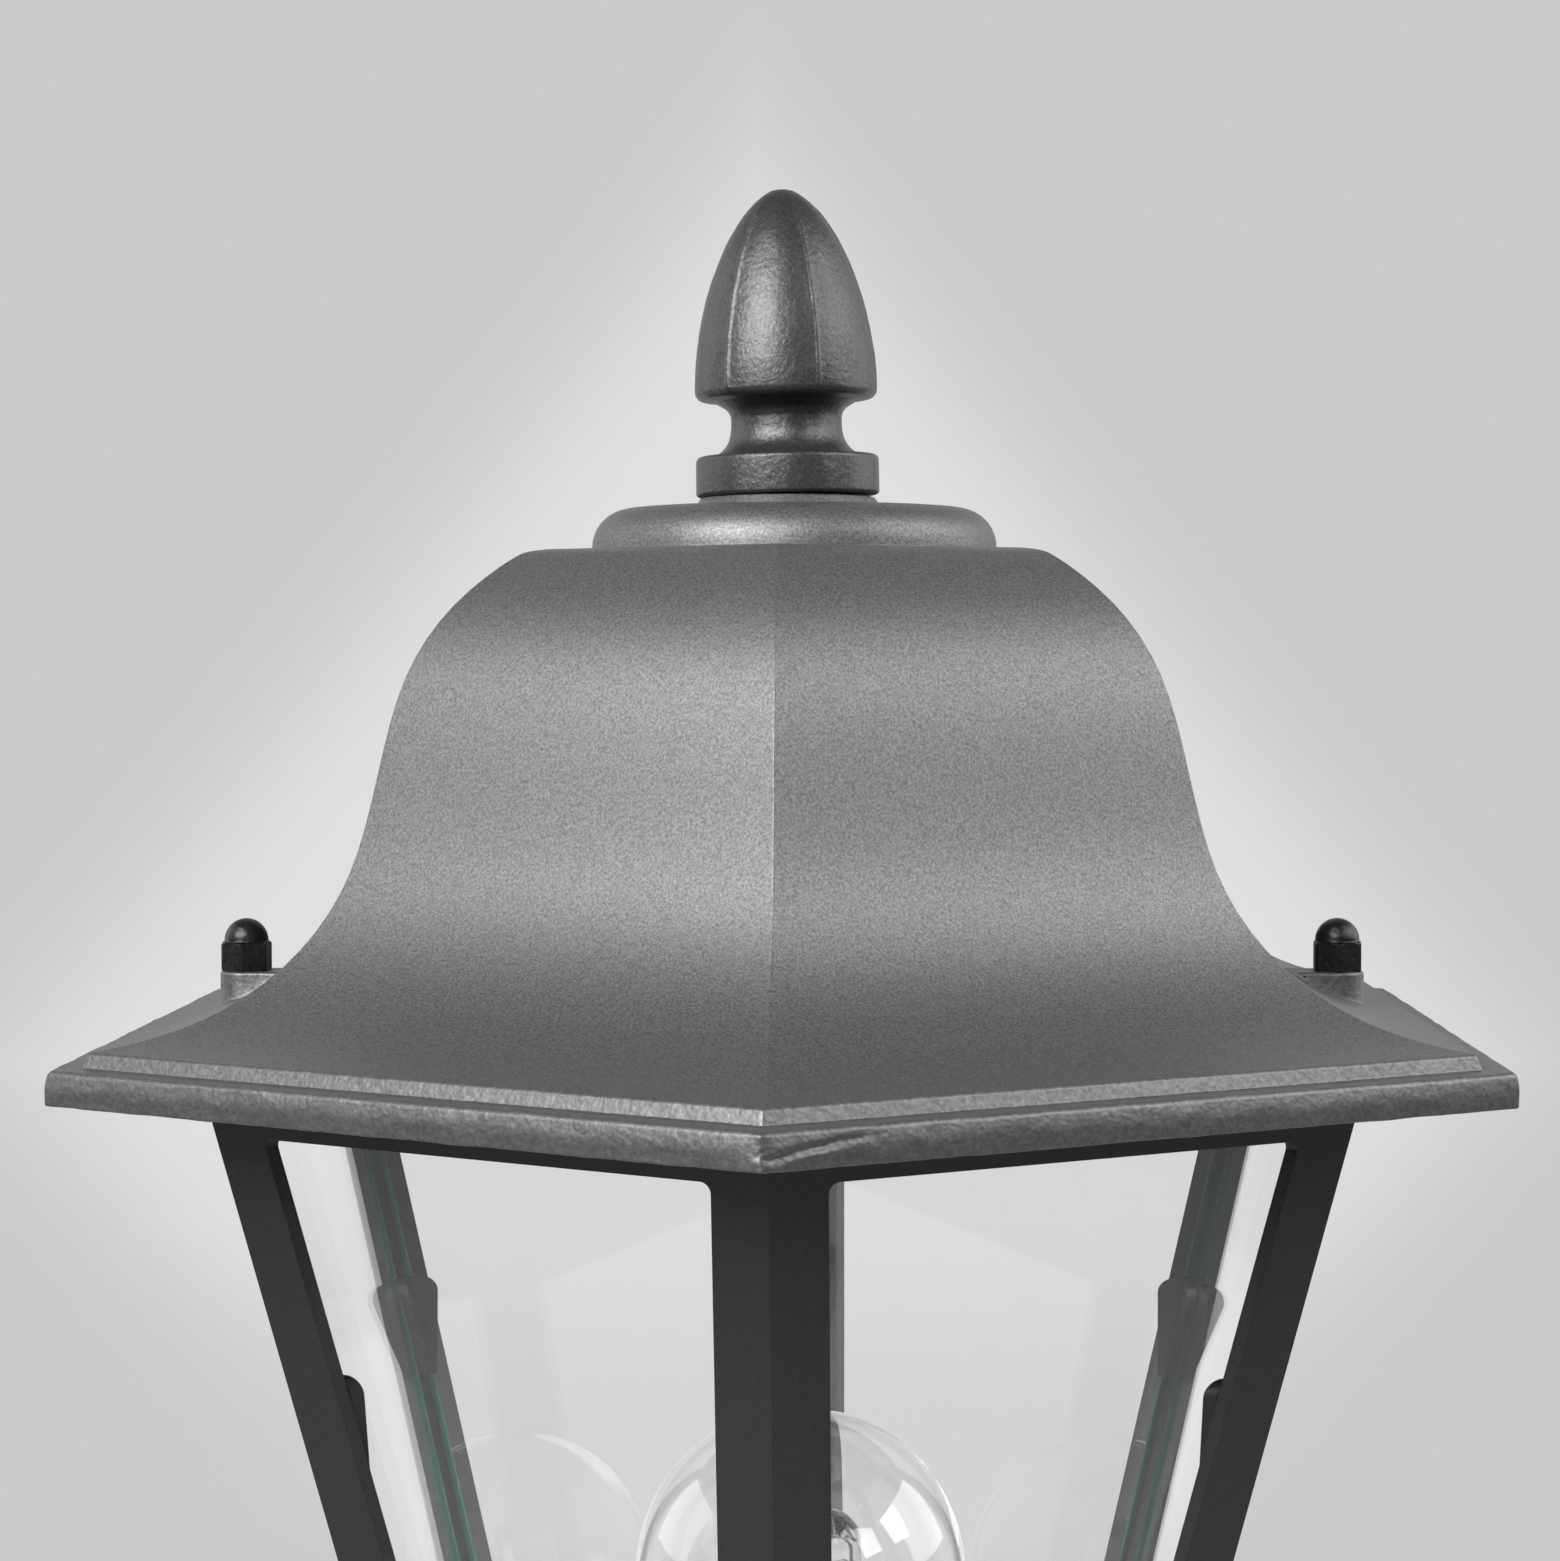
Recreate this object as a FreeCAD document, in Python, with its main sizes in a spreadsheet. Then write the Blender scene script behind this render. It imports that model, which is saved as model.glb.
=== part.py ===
"""Pedestal lamp: a hexagonal lantern with a bell-shaped roof on a cast pedestal.

Lengths are millimetres and angles are degrees. The origin is the centre of the pedestal's underside, +Z is up,
and one corner of the lantern faces -Y.
"""
import FreeCAD, Part
import math
import os

import Sketcher
from FreeCAD import Placement, Rotation, Vector

SIZES = {
    # Pedestal
    "pedestal_height": 108.5,
    "pedestal_wall": 4.0,
    "flange_radius": 80.0,
    "flange_thickness": 8.0,
    "flange_edge_round": 2.0,
    "fixing_circle_radius": 70.0,
    "fixing_hole_radius": 3.5,
    "hub_radius": 60.0,
    "pedestal_neck_radius": 22.0,
    "neck_length": 16.0,
    "neck_joint_lift": 4.0,
    "spigot_height": 12.0,
    "spigot_wall": 2.4,
    "spigot_clearance": 0.1,
    "neck_screw_radius": 2.0,
    "neck_screw_length": 3.6,
    "neck_screw_lift": 6.0,
    "cup_cove_height": 24.0,
    "cup_radius": 48.0,
    "cup_height": 10.5,
    "gasket_thickness": 1.5,
    # Lantern frame
    "frame_height": 178.7,
    "frame_foot_corner": 57.3,
    "frame_head_corner": 107.7,
    "frame_wall": 3.0,
    "floor_thickness": 3.0,
    "post_wing": 10.0,
    "foot_rail": 12.0,
    "head_rail": 9.0,
    "window_round": 1.6,
    "seat_flange_thickness": 2.6,
    "seat_flange_clearance": 0.6,
    "lug_top": 129.3,
    "lug_height": 18.0,
    "lug_half_width": 5.0,
    "lug_tip_half_width": 1.0,
    "lug_round": 2.4,
    "lug_thickness": 2.0,
    "lug_web_thickness": 2.2,
    "lug_web_height": 14.0,
    # Glass panes
    "glass_thickness": 3.0,
    "glass_clearance": 0.1,
    "glass_side_gap": 4.0,
    "glass_head_gap": 3.0,
    # Roof
    "rim_corner": 132.8,
    "rim_height": 5.2,
    "rim_wall": 3.0,
    "rim_round": 1.0,
    "ledge_width": 5.4,
    "step_height": 2.3,
    "step_round": 0.8,
    "roof_height": 83.1,
    "roof_wall": 3.0,
    "roof_top_apothem": 42.6,
    "shoulder_angle": 26.1,
    "shoulder_radius": 41.1,
    "flank_angle": 78.4,
    "flare_angle": 8.1,
    "flare_radius": 42.0,
    "disc_radius": 35.4,
    "disc_round": 6.0,
    "disc_lip": 1.5,
    "disc_wall": 3.8,
    "ring_radius": 16.4,
    "ring_top_radius": 15.0,
    "ring_height": 2.1,
    # Roof fastening
    "stud_radius": 2.5,
    "stud_circle_radius": 96.1,
    "stud_clearance": 0.4,
    "stud_reach": 7.0,
    "thread_clearance": 0.05,
    "boss_half_width": 4.6,
    "boss_seat_height": 12.4,
    "boss_inset": 20.0,
    "cap_nut_flats": 8.0,
    "cap_nut_hex_height": 5.1,
    "cap_nut_dome_radius": 3.8,
    "cap_nut_height": 9.2,
    "cap_nut_chamfer": 0.5,
    "cap_nut_end_gap": 0.4,
    # Finial
    "finial_height": 52.8,
    "finial_turn": 52.7,
    "finial_lean": 1.0,
    "finial_shift": 0.3,
    "collar_radius": 16.0,
    "collar_height": 7.0,
    "collar_round": 0.7,
    "finial_neck_foot": 12.8,
    "finial_neck_radius": 9.67,
    "finial_neck_level": 12.2,
    "finial_neck_head": 11.6,
    "acorn_underside": 16.4,
    "acorn_lip": 17.6,
    "acorn_lip_radius": 15.0,
    "acorn_level": 19.2,
    "acorn_radius": 15.9,
    "acorn_tip_radius": 2.6,
    "acorn_tip_round": 0.6,
    "seam_height": 0.3,
    "seam_width": 0.7,
    "finial_stud_radius": 3.0,
    "finial_stud_clearance": 1.3,
    "finial_stud_up": 12.0,
    "finial_stud_down": 16.0,
    "finial_washer_radius": 8.0,
    "finial_washer_thickness": 1.2,
    "finial_nut_flats": 10.0,
    "finial_nut_height": 5.0,
    "finial_nut_clearance": 0.15,
    # Lamp holder
    "lamp_shift": 1.8,
    "holder_radius": 19.0,
    "holder_height": 37.0,
    "holder_base": 5.0,
    "holder_lip_round": 2.0,
    "shell_radius": 13.5,
    "shell_wall": 0.6,
    "shell_clearance": 0.1,
    "shell_height": 23.0,
    "shell_lift": 3.2,
    "contact_radius": 6.5,
    "contact_thickness": 1.5,
    "holder_screw_circle": 10.3,
    "holder_screw_radius": 2.0,
    "holder_screw_head_radius": 3.2,
    "holder_screw_head_height": 2.2,
    "screw_clearance": 0.2,
    "screw_head_round": 0.8,
    # Bulb
    "bulb_radius": 28.8,
    "bulb_length": 104.0,
    "bulb_wall": 0.7,
    "bulb_neck_radius": 12.6,
    "bulb_neck_round": 30.0,
    "cap_radius": 13.2,
    "cap_wall": 0.45,
    "cap_height": 24.4,
    "cap_lift": 3.1,
    "cap_taper": 3.4,
    "cap_foot_radius": 8.0,
    "insulator_height": 2.0,
    "insulator_foot_radius": 5.5,
    "bulb_contact_radius": 5.0,
    "stem_lift": 27.0,
    "stem_flare": 1.5,
    "stem_taper": 6.0,
    "stem_clearance": 0.1,
    "stem_radius": 7.0,
    "stem_height": 26.0,
    "wire_radius": 0.5,
    "wire_spread": 2.5,
    "wire_length": 6.0,
    "capsule_shift": 3.6,
    "capsule_radius": 6.5,
    "capsule_wall": 1.0,
    "capsule_height": 29.8,
    "pinch_width": 10.0,
    "pinch_depth": 3.2,
    "pinch_height": 7.0,
    "filament_radius": 0.9,
    "filament_length": 11.0,
    "filament_leg": 3.0,
    "filament_wire_radius": 0.3,
    "filament_link_radius": 0.22,
    # Wiring and fasteners in the pedestal
    "lead_radius": 3.5,
    "lead_clearance": 0.2,
    "lead_end_gap": 2.0,
    "grommet_radius": 6.4,
    "grommet_lip_radius": 9.0,
    "grommet_lip_thickness": 2.0,
    "frame_screw_circle": 33.0,
    "frame_screw_radius": 2.5,
    "frame_screw_head_radius": 4.6,
    "frame_screw_head_height": 2.6,
    "frame_screw_depth": 8.0,
    "frame_boss_radius": 5.0,
    "frame_boss_height": 9.0,
    "bridge_level": 10.0,
    "bridge_thickness": 2.0,
    "bridge_half_length": 41.0,
    "bridge_half_width": 7.0,
    "bridge_screw_offset": 36.0,
    "bridge_boss_radius": 4.6,
    "bridge_screw_radius": 2.0,
    "bridge_screw_depth": 4.0,
    "bridge_screw_head_radius": 3.5,
    "bridge_screw_head_height": 2.4,
    "terminal_half_length": 11.0,
    "terminal_half_width": 8.0,
    "terminal_height": 15.0,
    "terminal_well_offset": 7.15,
    "terminal_well_radius": 2.2,
    "terminal_well_depth": 6.0,
    "terminal_foot_radius": 2.0,
    "earth_screw_offset": 22.0,
    "earth_screw_radius": 2.0,
    "earth_screw_depth": 5.0,
    "earth_screw_head_radius": 3.6,
    "earth_screw_head_height": 2.6,
}

SIDES = 6
CORNER_TURN = 30.0
SIDE_TURN = 360.0 / SIDES
COS_HALF_SIDE = math.cos(math.radians(CORNER_TURN))
FRAME_SCREWS = 3
FIXING_HOLES = 3
STUD_TURNS = {"right": 0.0, "left": 180.0}
OVERCUT = 1.0

doc = FreeCAD.newDocument("pedestal_lamp")
sheet = doc.addObject("Spreadsheet::Sheet", "Sizes")
nodes = []


class Size:
    """A number that is worked out from the sheet: its present value and the expression that binds it."""

    def __init__(self, value, text):
        self.value = value
        self.text = text

    def __add__(self, other):
        other = as_size(other)
        return Size(self.value + other.value, f"({self.text} + {other.text})")

    def __sub__(self, other):
        other = as_size(other)
        return Size(self.value - other.value, f"({self.text} - {other.text})")

    def __mul__(self, other):
        other = as_size(other)
        return Size(self.value * other.value, f"({self.text} * {other.text})")

    def __truediv__(self, other):
        other = as_size(other)
        return Size(self.value / other.value, f"({self.text} / {other.text})")

    def __neg__(self):
        return Size(-self.value, f"(0 - {self.text})")

    def __radd__(self, other):
        return as_size(other) + self

    def __rsub__(self, other):
        return as_size(other) - self

    def __rmul__(self, other):
        return as_size(other) * self

    def __rtruediv__(self, other):
        return as_size(other) / self


def as_size(number):
    if isinstance(number, Size):
        return number
    return Size(float(number), f"({float(number)!r})")


def sin_of(angle):
    return Size(math.sin(math.radians(angle.value)), f"sin({angle.text})")


def cos_of(angle):
    return Size(math.cos(math.radians(angle.value)), f"cos({angle.text})")


def tan_of(angle):
    return Size(math.tan(math.radians(angle.value)), f"tan({angle.text})")


def root_of(number):
    return Size(math.sqrt(number.value), f"sqrt({number.text})")


def fill_sheet():
    """Write each driving dimension into its own aliased cell, and return the sizes by name."""
    sizes = {}
    for row, (name, value) in enumerate(SIZES.items(), start=1):
        sheet.set(f"A{row}", name)
        sheet.set(f"B{row}", str(value))
        sheet.setAlias(f"B{row}", name)
        sizes[name] = Size(value, f"Sizes.{name}")
    doc.recompute()
    return sizes


S = fill_sheet()


# Helpers for sketches, features and placement

def bind(obj, path, size):
    obj.setExpression(path, as_size(size).text)


def put(obj, x=0, y=0, z=0, turn=0.0):
    """Place an object, turned about the upright axis, with its position bound to the sheet."""
    position = [as_size(part) for part in (x, y, z)]
    obj.Placement = Placement(Vector(*[part.value for part in position]), Rotation(Vector(0, 0, 1), turn))
    for axis, part in zip("xyz", position):
        bind(obj, f"Placement.Base.{axis}", part)
    return obj


def put_round(obj, radius, angle, z=0):
    """Place an object on a circle about the upright axis."""
    along = math.radians(angle)
    return put(obj, radius * math.cos(along), radius * math.sin(along), z, angle)


def arc_between(start, end, radius, turn):
    """Return the shorter arc from start to end; turn is 1 for anticlockwise and -1 for clockwise."""
    middle = (start + end) * 0.5
    chord = end - start
    lift = math.sqrt(max(radius**2 - (chord.Length / 2)**2, 0.0))
    side = Vector(-chord.y, chord.x, 0).normalize()
    center = middle + side * (lift * turn)
    first, last = (start, end) if turn > 0 else (end, start)
    angles = [math.atan2(point.y - center.y, point.x - center.x) for point in (first, last)]
    return Part.ArcOfCircle(Part.Circle(center, Vector(0, 0, 1), radius), *angles)


def pin_coordinate(sketch, kind, axis, curve, end, size):
    """Fix one coordinate of a sketch point to a size, measured from the sketch's origin."""
    if size.value == 0:
        sketch.addConstraint(Sketcher.Constraint("PointOnObject", curve, end, axis))
    elif size.value > 0:
        index = sketch.addConstraint(Sketcher.Constraint(kind, -1, 1, curve, end, size.value))
        bind(sketch, f"Constraints[{index}]", size)
    else:
        index = sketch.addConstraint(Sketcher.Constraint(kind, curve, end, -1, 1, -size.value))
        bind(sketch, f"Constraints[{index}]", -size)


def draw(sketch, outline):
    """Draw a closed outline of (x, y) corners; (x, y, radius, turn) is reached by an arc."""
    corners = [(as_size(corner[0]), as_size(corner[1])) + tuple(corner[2:]) for corner in outline]
    points = [Vector(corner[0].value, corner[1].value, 0) for corner in corners]
    curves = []
    for index, corner in enumerate(corners):
        start, end = points[index - 1], points[index]
        if len(corner) == 2:
            curves.append((sketch.addGeometry(Part.LineSegment(start, end)), 1, 2))
        else:
            radius, turn = corner[2:]
            arc = sketch.addGeometry(arc_between(start, end, radius.value, turn))
            curves.append((arc, 1, 2) if turn > 0 else (arc, 2, 1))
    for index, corner in enumerate(corners):
        curve, _, end = curves[index]
        following, start, _ = curves[(index + 1) % len(curves)]
        sketch.addConstraint(Sketcher.Constraint("Coincident", curve, end, following, start))
        pin_coordinate(sketch, "DistanceX", -2, curve, end, corner[0])
        pin_coordinate(sketch, "DistanceY", -1, curve, end, corner[1])
        if len(corner) > 2:
            radius_rule = sketch.addConstraint(Sketcher.Constraint("Radius", curve, corner[2].value))
            bind(sketch, f"Constraints[{radius_rule}]", corner[2])
    return sketch


def mirrored(half):
    """Close the right half of an outline, drawn upwards, with its mirror image about the upright axis."""
    left = []
    for index in range(len(half) - 1, -1, -1):
        bend = half[index + 1][2:] if index + 1 < len(half) else ()
        left.append((-half[index][0], half[index][1]) + tuple(bend))
    return half + left


def tapered_outline(half_foot, half_head, foot, head, foot_round=None, head_round=None):
    """Return a symmetric four-sided outline with level foot and head, and rounded corners where asked."""
    slope = (half_head - half_foot) / (head - foot)
    stretch = root_of(slope * slope + 1)
    half = [(half_foot, foot)]
    if foot_round is not None:
        run = foot_round * (stretch - slope)
        half = [
            (half_foot - run, foot),
            (half_foot + run * slope / stretch, foot + run / stretch, foot_round, 1),
        ]
    if head_round is None:
        return mirrored(half + [(half_head, head)])
    run = head_round * (stretch + slope)
    half += [
        (half_head - run * slope / stretch, head - run / stretch),
        (half_head - run, head, head_round, 1),
    ]
    return mirrored(half)


def new_body(name):
    return doc.addObject("PartDesign::Body", f"{name}_body")


def body_sketch(body, role, outline):
    """Draw an outline on one of a body's own origin planes."""
    plane = [feature for feature in body.Origin.OriginFeatures if feature.Role == role][0]
    sketch = body.newObject("Sketcher::SketchObject", f"{body.Name}_outline")
    sketch.AttachmentSupport = [(plane, "")]
    sketch.MapMode = "FlatFace"
    return draw(sketch, outline)


def revolve(body, outline, kind="Revolution"):
    """Turn an outline, drawn on the XZ plane, about the upright axis, as a solid or as a groove."""
    sketch = body_sketch(body, "XZ_Plane", outline)
    feature = body.newObject(f"PartDesign::{kind}", f"{body.Name}_turned")
    feature.Profile = sketch
    feature.ReferenceAxis = (sketch, ["V_Axis"])
    feature.Angle = 360.0
    return feature


def turned(name, outline):
    body = new_body(name)
    revolve(body, outline)
    return body


def pad(body, role, outline, length, midplane=False, reverse=False):
    feature = body.newObject("PartDesign::Pad", f"{body.Name}_pad")
    feature.Profile = body_sketch(body, role, outline)
    feature.SideType = "Symmetric" if midplane else "One side"
    feature.Reversed = reverse
    bind(feature, "Length", length)
    return feature


def hexagon_outline(corner):
    """Return a hexagon with a corner on the sketch's first axis."""
    angles = [math.radians(SIDE_TURN * index) for index in range(SIDES)]
    return [(corner * round(math.cos(angle), 9), corner * round(math.sin(angle), 9)) for angle in angles]


def cylinder(name, radius, height, **place):
    obj = doc.addObject("Part::Cylinder", name)
    bind(obj, "Radius", radius)
    bind(obj, "Height", height)
    return put(obj, **place)


def box(name, half_x, half_y, height, x=0, y=0, z=0, turn=0.0):
    """Make an upright box that is centred on its own axis, then turned about the lamp's axis."""
    outline = [(half_x, -half_y), (half_x, half_y), (-half_x, half_y), (-half_x, -half_y)]
    body = new_body(name)
    pad(body, "XY_Plane", outline, height)
    return put(body, x, y, z, turn)


def joined(name, parts):
    obj = doc.addObject("Part::MultiFuse", name)
    obj.Shapes = parts
    obj.Refine = True
    return obj


def overlap(name, parts):
    obj = doc.addObject("Part::MultiCommon", name)
    obj.Shapes = parts
    obj.Refine = True
    return obj


def cut(name, base, tool):
    obj = doc.addObject("Part::Cut", name)
    obj.Base = base
    obj.Tool = tool
    obj.Refine = True
    return obj


def group(name, parts):
    obj = doc.addObject("Part::Compound", name)
    obj.Links = parts
    return obj


def crossing_bars(name, outline, length, start=0.0):
    """Extrude an upright outline right through the lantern three times, once for each pair of sides."""
    bars = []
    for index in range(SIDES // 2):
        sketch = doc.addObject("Sketcher::SketchObject", f"{name}_outline_{index + 1}")
        sketch.Placement = Placement(Vector(0, 0, 0), Rotation(Vector(1, 0, 0), 90))
        draw(sketch, outline)
        bar = doc.addObject("Part::Extrusion", f"{name}_bar_{index + 1}")
        bar.Base = sketch
        bar.DirMode = "Normal"
        bar.Symmetric = True
        bar.Solid = True
        bind(bar, "LengthFwd", length)
        bar.Placement = Placement(Vector(0, 0, 0), Rotation(Vector(0, 0, 1), start + SIDE_TURN * index))
        bars.append(bar)
    return bars


def hexagon_wire(name, corner, level):
    wire = doc.addObject("Part::RegularPolygon", name)
    wire.Polygon = SIDES
    bind(wire, "Circumradius", corner)
    return put(wire, z=level, turn=CORNER_TURN)


def frustum(name, foot_corner, foot, head_corner, head):
    """Make a six-sided tapered block between two levels."""
    loft = doc.addObject("Part::Loft", name)
    loft.Sections = [
        hexagon_wire(f"{name}_foot", foot_corner, foot),
        hexagon_wire(f"{name}_head", head_corner, head),
    ]
    loft.Solid = True
    loft.Ruled = True
    return loft


def node(label, obj):
    """Name a finished piece: its label is also its file's name."""
    obj.Label = label
    nodes.append(obj)
    return obj


# Levels and radii that several pieces share

frame_foot = S["pedestal_height"] + S["gasket_thickness"]
floor_top = frame_foot + S["floor_thickness"]
seat_level = frame_foot + S["frame_height"]
ledge_level = seat_level + S["roof_wall"]
rim_foot = ledge_level - S["rim_height"]
roof_top = ledge_level + S["roof_height"]
disc_top = roof_top + S["disc_lip"] + S["disc_round"]
disc_ceiling = disc_top - S["disc_wall"]
finial_seat = disc_top + S["ring_height"]
boss_seat = seat_level + S["boss_seat_height"]
cup_low = S["pedestal_height"] - S["cup_height"]
neck_high = cup_low - S["cup_cove_height"]
neck_low = neck_high - S["neck_length"]
neck_joint = neck_low + S["neck_joint_lift"]

rim_apothem = S["rim_corner"] * COS_HALF_SIDE
rim_inner_apothem = rim_apothem - S["rim_wall"]
step_apothem = rim_apothem - S["ledge_width"]
through_length = (S["rim_corner"] + OVERCUT) * 2

taper = (S["frame_head_corner"] - S["frame_foot_corner"]) / S["frame_height"]
face_slope = taper * COS_HALF_SIDE
face_stretch = root_of(face_slope * face_slope + 1)


def frame_corner(level, depth=0.0):
    """Return the corner radius of the lantern's tapered side, a depth inside its outer faces."""
    outer = S["frame_foot_corner"] + (level - frame_foot) * taper
    return outer - as_size(depth) * face_stretch / COS_HALF_SIDE


def frame_block(name, depth, foot, head):
    return frustum(name, frame_corner(foot, depth), foot, frame_corner(head, depth), head)


# Roof

def roof_profile():
    """Return the points and directions of the bell's section at the middle of a side, from brim to top."""
    start = S["shoulder_angle"]
    flank = S["flank_angle"]
    flare = S["flare_angle"]
    shoulder = S["shoulder_radius"]
    flank_head = (
        S["roof_top_apothem"] + shoulder * (sin_of(flank) - sin_of(start)),
        roof_top + shoulder * (cos_of(flank) - cos_of(start)),
    )
    step_top = ledge_level + S["step_height"]
    drop = (flank_head[1] - step_top) * cos_of(flare) - (step_apothem - flank_head[0]) * sin_of(flare)
    flank_run = drop / sin_of(flank - flare)
    bend_run = S["flare_radius"] * tan_of((flank - flare) / 2)
    flank_foot = (
        flank_head[0] + (flank_run - bend_run) * cos_of(flank),
        flank_head[1] - (flank_run - bend_run) * sin_of(flank),
    )
    flare_head = (
        flank_head[0] + flank_run * cos_of(flank) + bend_run * cos_of(flare),
        flank_head[1] - flank_run * sin_of(flank) - bend_run * sin_of(flare),
    )
    return {
        "step": ((step_apothem, step_top), flare),
        "flare_head": (flare_head, flare),
        "flank_foot": (flank_foot, flank),
        "flank_head": (flank_head, flank),
        "top": ((S["roof_top_apothem"], roof_top), start),
    }


def inside(place, wall):
    """Move a point of the bell's section inwards by a wall, at right angles to its direction there."""
    (x, y), angle = place
    return x - wall * sin_of(angle), y - wall * cos_of(angle)


def roof_outer_outline(profile):
    step, flare = profile["step"]
    edge_run = S["step_round"] * tan_of((90 - flare) / 2)
    return mirrored([
        (rim_apothem, rim_foot),
        (rim_apothem, ledge_level - S["rim_round"]),
        (rim_apothem - S["rim_round"], ledge_level, S["rim_round"], 1),
        (step_apothem, ledge_level),
        (step_apothem, step[1] - edge_run),
        (step_apothem - edge_run * cos_of(flare), step[1] + edge_run * sin_of(flare), S["step_round"], 1),
        profile["flare_head"][0],
        profile["flank_foot"][0] + (S["flare_radius"], -1),
        profile["flank_head"][0],
        profile["top"][0] + (S["shoulder_radius"], 1),
    ])


def roof_inner_outline(profile):
    wall = S["roof_wall"]
    foot = inside(profile["step"], wall)
    return mirrored([
        (rim_inner_apothem, rim_foot - OVERCUT),
        (rim_inner_apothem, seat_level),
        (foot[0], seat_level),
        foot,
        inside(profile["flare_head"], wall),
        inside(profile["flank_foot"], wall) + (S["flare_radius"] + wall, -1),
        inside(profile["flank_head"], wall),
        inside(profile["top"], wall) + (S["shoulder_radius"] - wall, 1),
    ])


def roof_disc():
    """The round cap of the roof with its quarter-round edge and the small flared ring."""
    foot = roof_top - S["roof_wall"] / 2
    return turned("roof_disc", [
        (0, foot),
        (S["disc_radius"], foot),
        (S["disc_radius"], roof_top + S["disc_lip"]),
        (S["disc_radius"] - S["disc_round"], disc_top, S["disc_round"], 1),
        (S["ring_radius"], disc_top),
        (S["ring_top_radius"], finial_seat),
        (0, finial_seat),
    ])


def roof_boss(side, turn):
    """A U-shaped boss with a level seat, running inwards until the bell rises through it."""
    foot = seat_level
    height = S["boss_seat_height"]
    half_run = S["boss_inset"] / 2
    run = box(f"boss_run_{side}", half_run, S["boss_half_width"], height)
    put_round(run, S["stud_circle_radius"] - half_run, turn, foot)
    end = cylinder(f"boss_end_{side}", S["boss_half_width"], height)
    put_round(end, S["stud_circle_radius"], turn, foot)
    return [run, end]


def stud_hole(name, side, turn, foot, height, clearance):
    hole = cylinder(f"{name}_{side}", S["stud_radius"] + clearance, height)
    return put_round(hole, S["stud_circle_radius"], turn, foot)


def make_roof():
    profile = roof_profile()
    bell = overlap("bell", crossing_bars("bell", roof_outer_outline(profile), through_length))
    hollow = overlap("hollow", crossing_bars("hollow", roof_inner_outline(profile), through_length))
    solids = [bell, roof_disc()]
    tools = [hollow]
    ceiling = inside(profile["top"], S["roof_wall"])[1]
    hollow_radius = S["disc_radius"] - S["disc_wall"]
    tools.append(cylinder("disc_hollow", hollow_radius, disc_ceiling - ceiling + OVERCUT, z=ceiling - OVERCUT))
    bore_radius = S["finial_stud_radius"] + S["finial_stud_clearance"]
    tools.append(cylinder("finial_bore", bore_radius, finial_seat - disc_ceiling + 2 * OVERCUT,
                          z=disc_ceiling - OVERCUT))
    for side, turn in STUD_TURNS.items():
        solids += roof_boss(side, turn)
        tools.append(stud_hole("roof_stud_hole", side, turn, seat_level - OVERCUT,
                               S["boss_seat_height"] + 2 * OVERCUT, S["stud_clearance"]))
    casting = joined("roof_casting", solids)
    node("roof", cut("roof_cut", casting, joined("roof_tools", tools)))


# Roof fastening

def cap_nut(side, turn):
    """A domed cap nut with a blind bore; its seat is at the origin of its own frame."""
    corner = S["cap_nut_flats"] / (2 * COS_HALF_SIDE)
    hex_height = S["cap_nut_hex_height"]
    dome = S["cap_nut_dome_radius"]
    body = new_body(f"cap_nut_{side}")
    pad(body, "XY_Plane", hexagon_outline(corner), hex_height)
    shoulder = S["cap_nut_height"] - dome
    revolve(body, [
        (0, hex_height / 2),
        (dome, hex_height / 2),
        (dome, shoulder),
        (0, S["cap_nut_height"], dome, 1),
    ])
    flat = S["cap_nut_flats"] / 2
    revolve(body, [
        (flat, hex_height),
        (corner + OVERCUT, hex_height - S["cap_nut_chamfer"] - OVERCUT / 2),
        (corner + OVERCUT, hex_height),
    ], "Groove")
    bore = S["stud_radius"] + S["thread_clearance"]
    depth = S["stud_reach"] + S["cap_nut_end_gap"]
    revolve(body, [(0, 0), (bore, 0), (bore, depth), (0, depth)], "Groove")
    return put_round(body, S["stud_circle_radius"], turn, boss_seat)


def make_roof_fastening():
    stud_foot = seat_level - S["seat_flange_thickness"]
    studs = []
    nuts = []
    for side, turn in STUD_TURNS.items():
        stud = cylinder(f"roof_stud_{side}", S["stud_radius"], boss_seat + S["stud_reach"] - stud_foot)
        studs.append(put_round(stud, S["stud_circle_radius"], turn, stud_foot))
        nuts.append(cap_nut(side, turn))
    node("roof_studs", group("roof_stud_pair", studs))
    node("cap_nuts", group("cap_nut_pair", nuts))


# Lantern frame

def frame_windows():
    """Three bars through the frame cut its six windows, a post's wing away from each corner."""
    foot = frame_foot + S["foot_rail"]
    head = seat_level - S["head_rail"]
    half_foot = frame_corner(foot) / 2 - S["post_wing"]
    half_head = frame_corner(head) / 2 - S["post_wing"]
    outline = tapered_outline(half_foot, half_head, foot, head, S["window_round"], S["window_round"])
    return crossing_bars("window", outline, through_length, start=CORNER_TURN)


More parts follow.
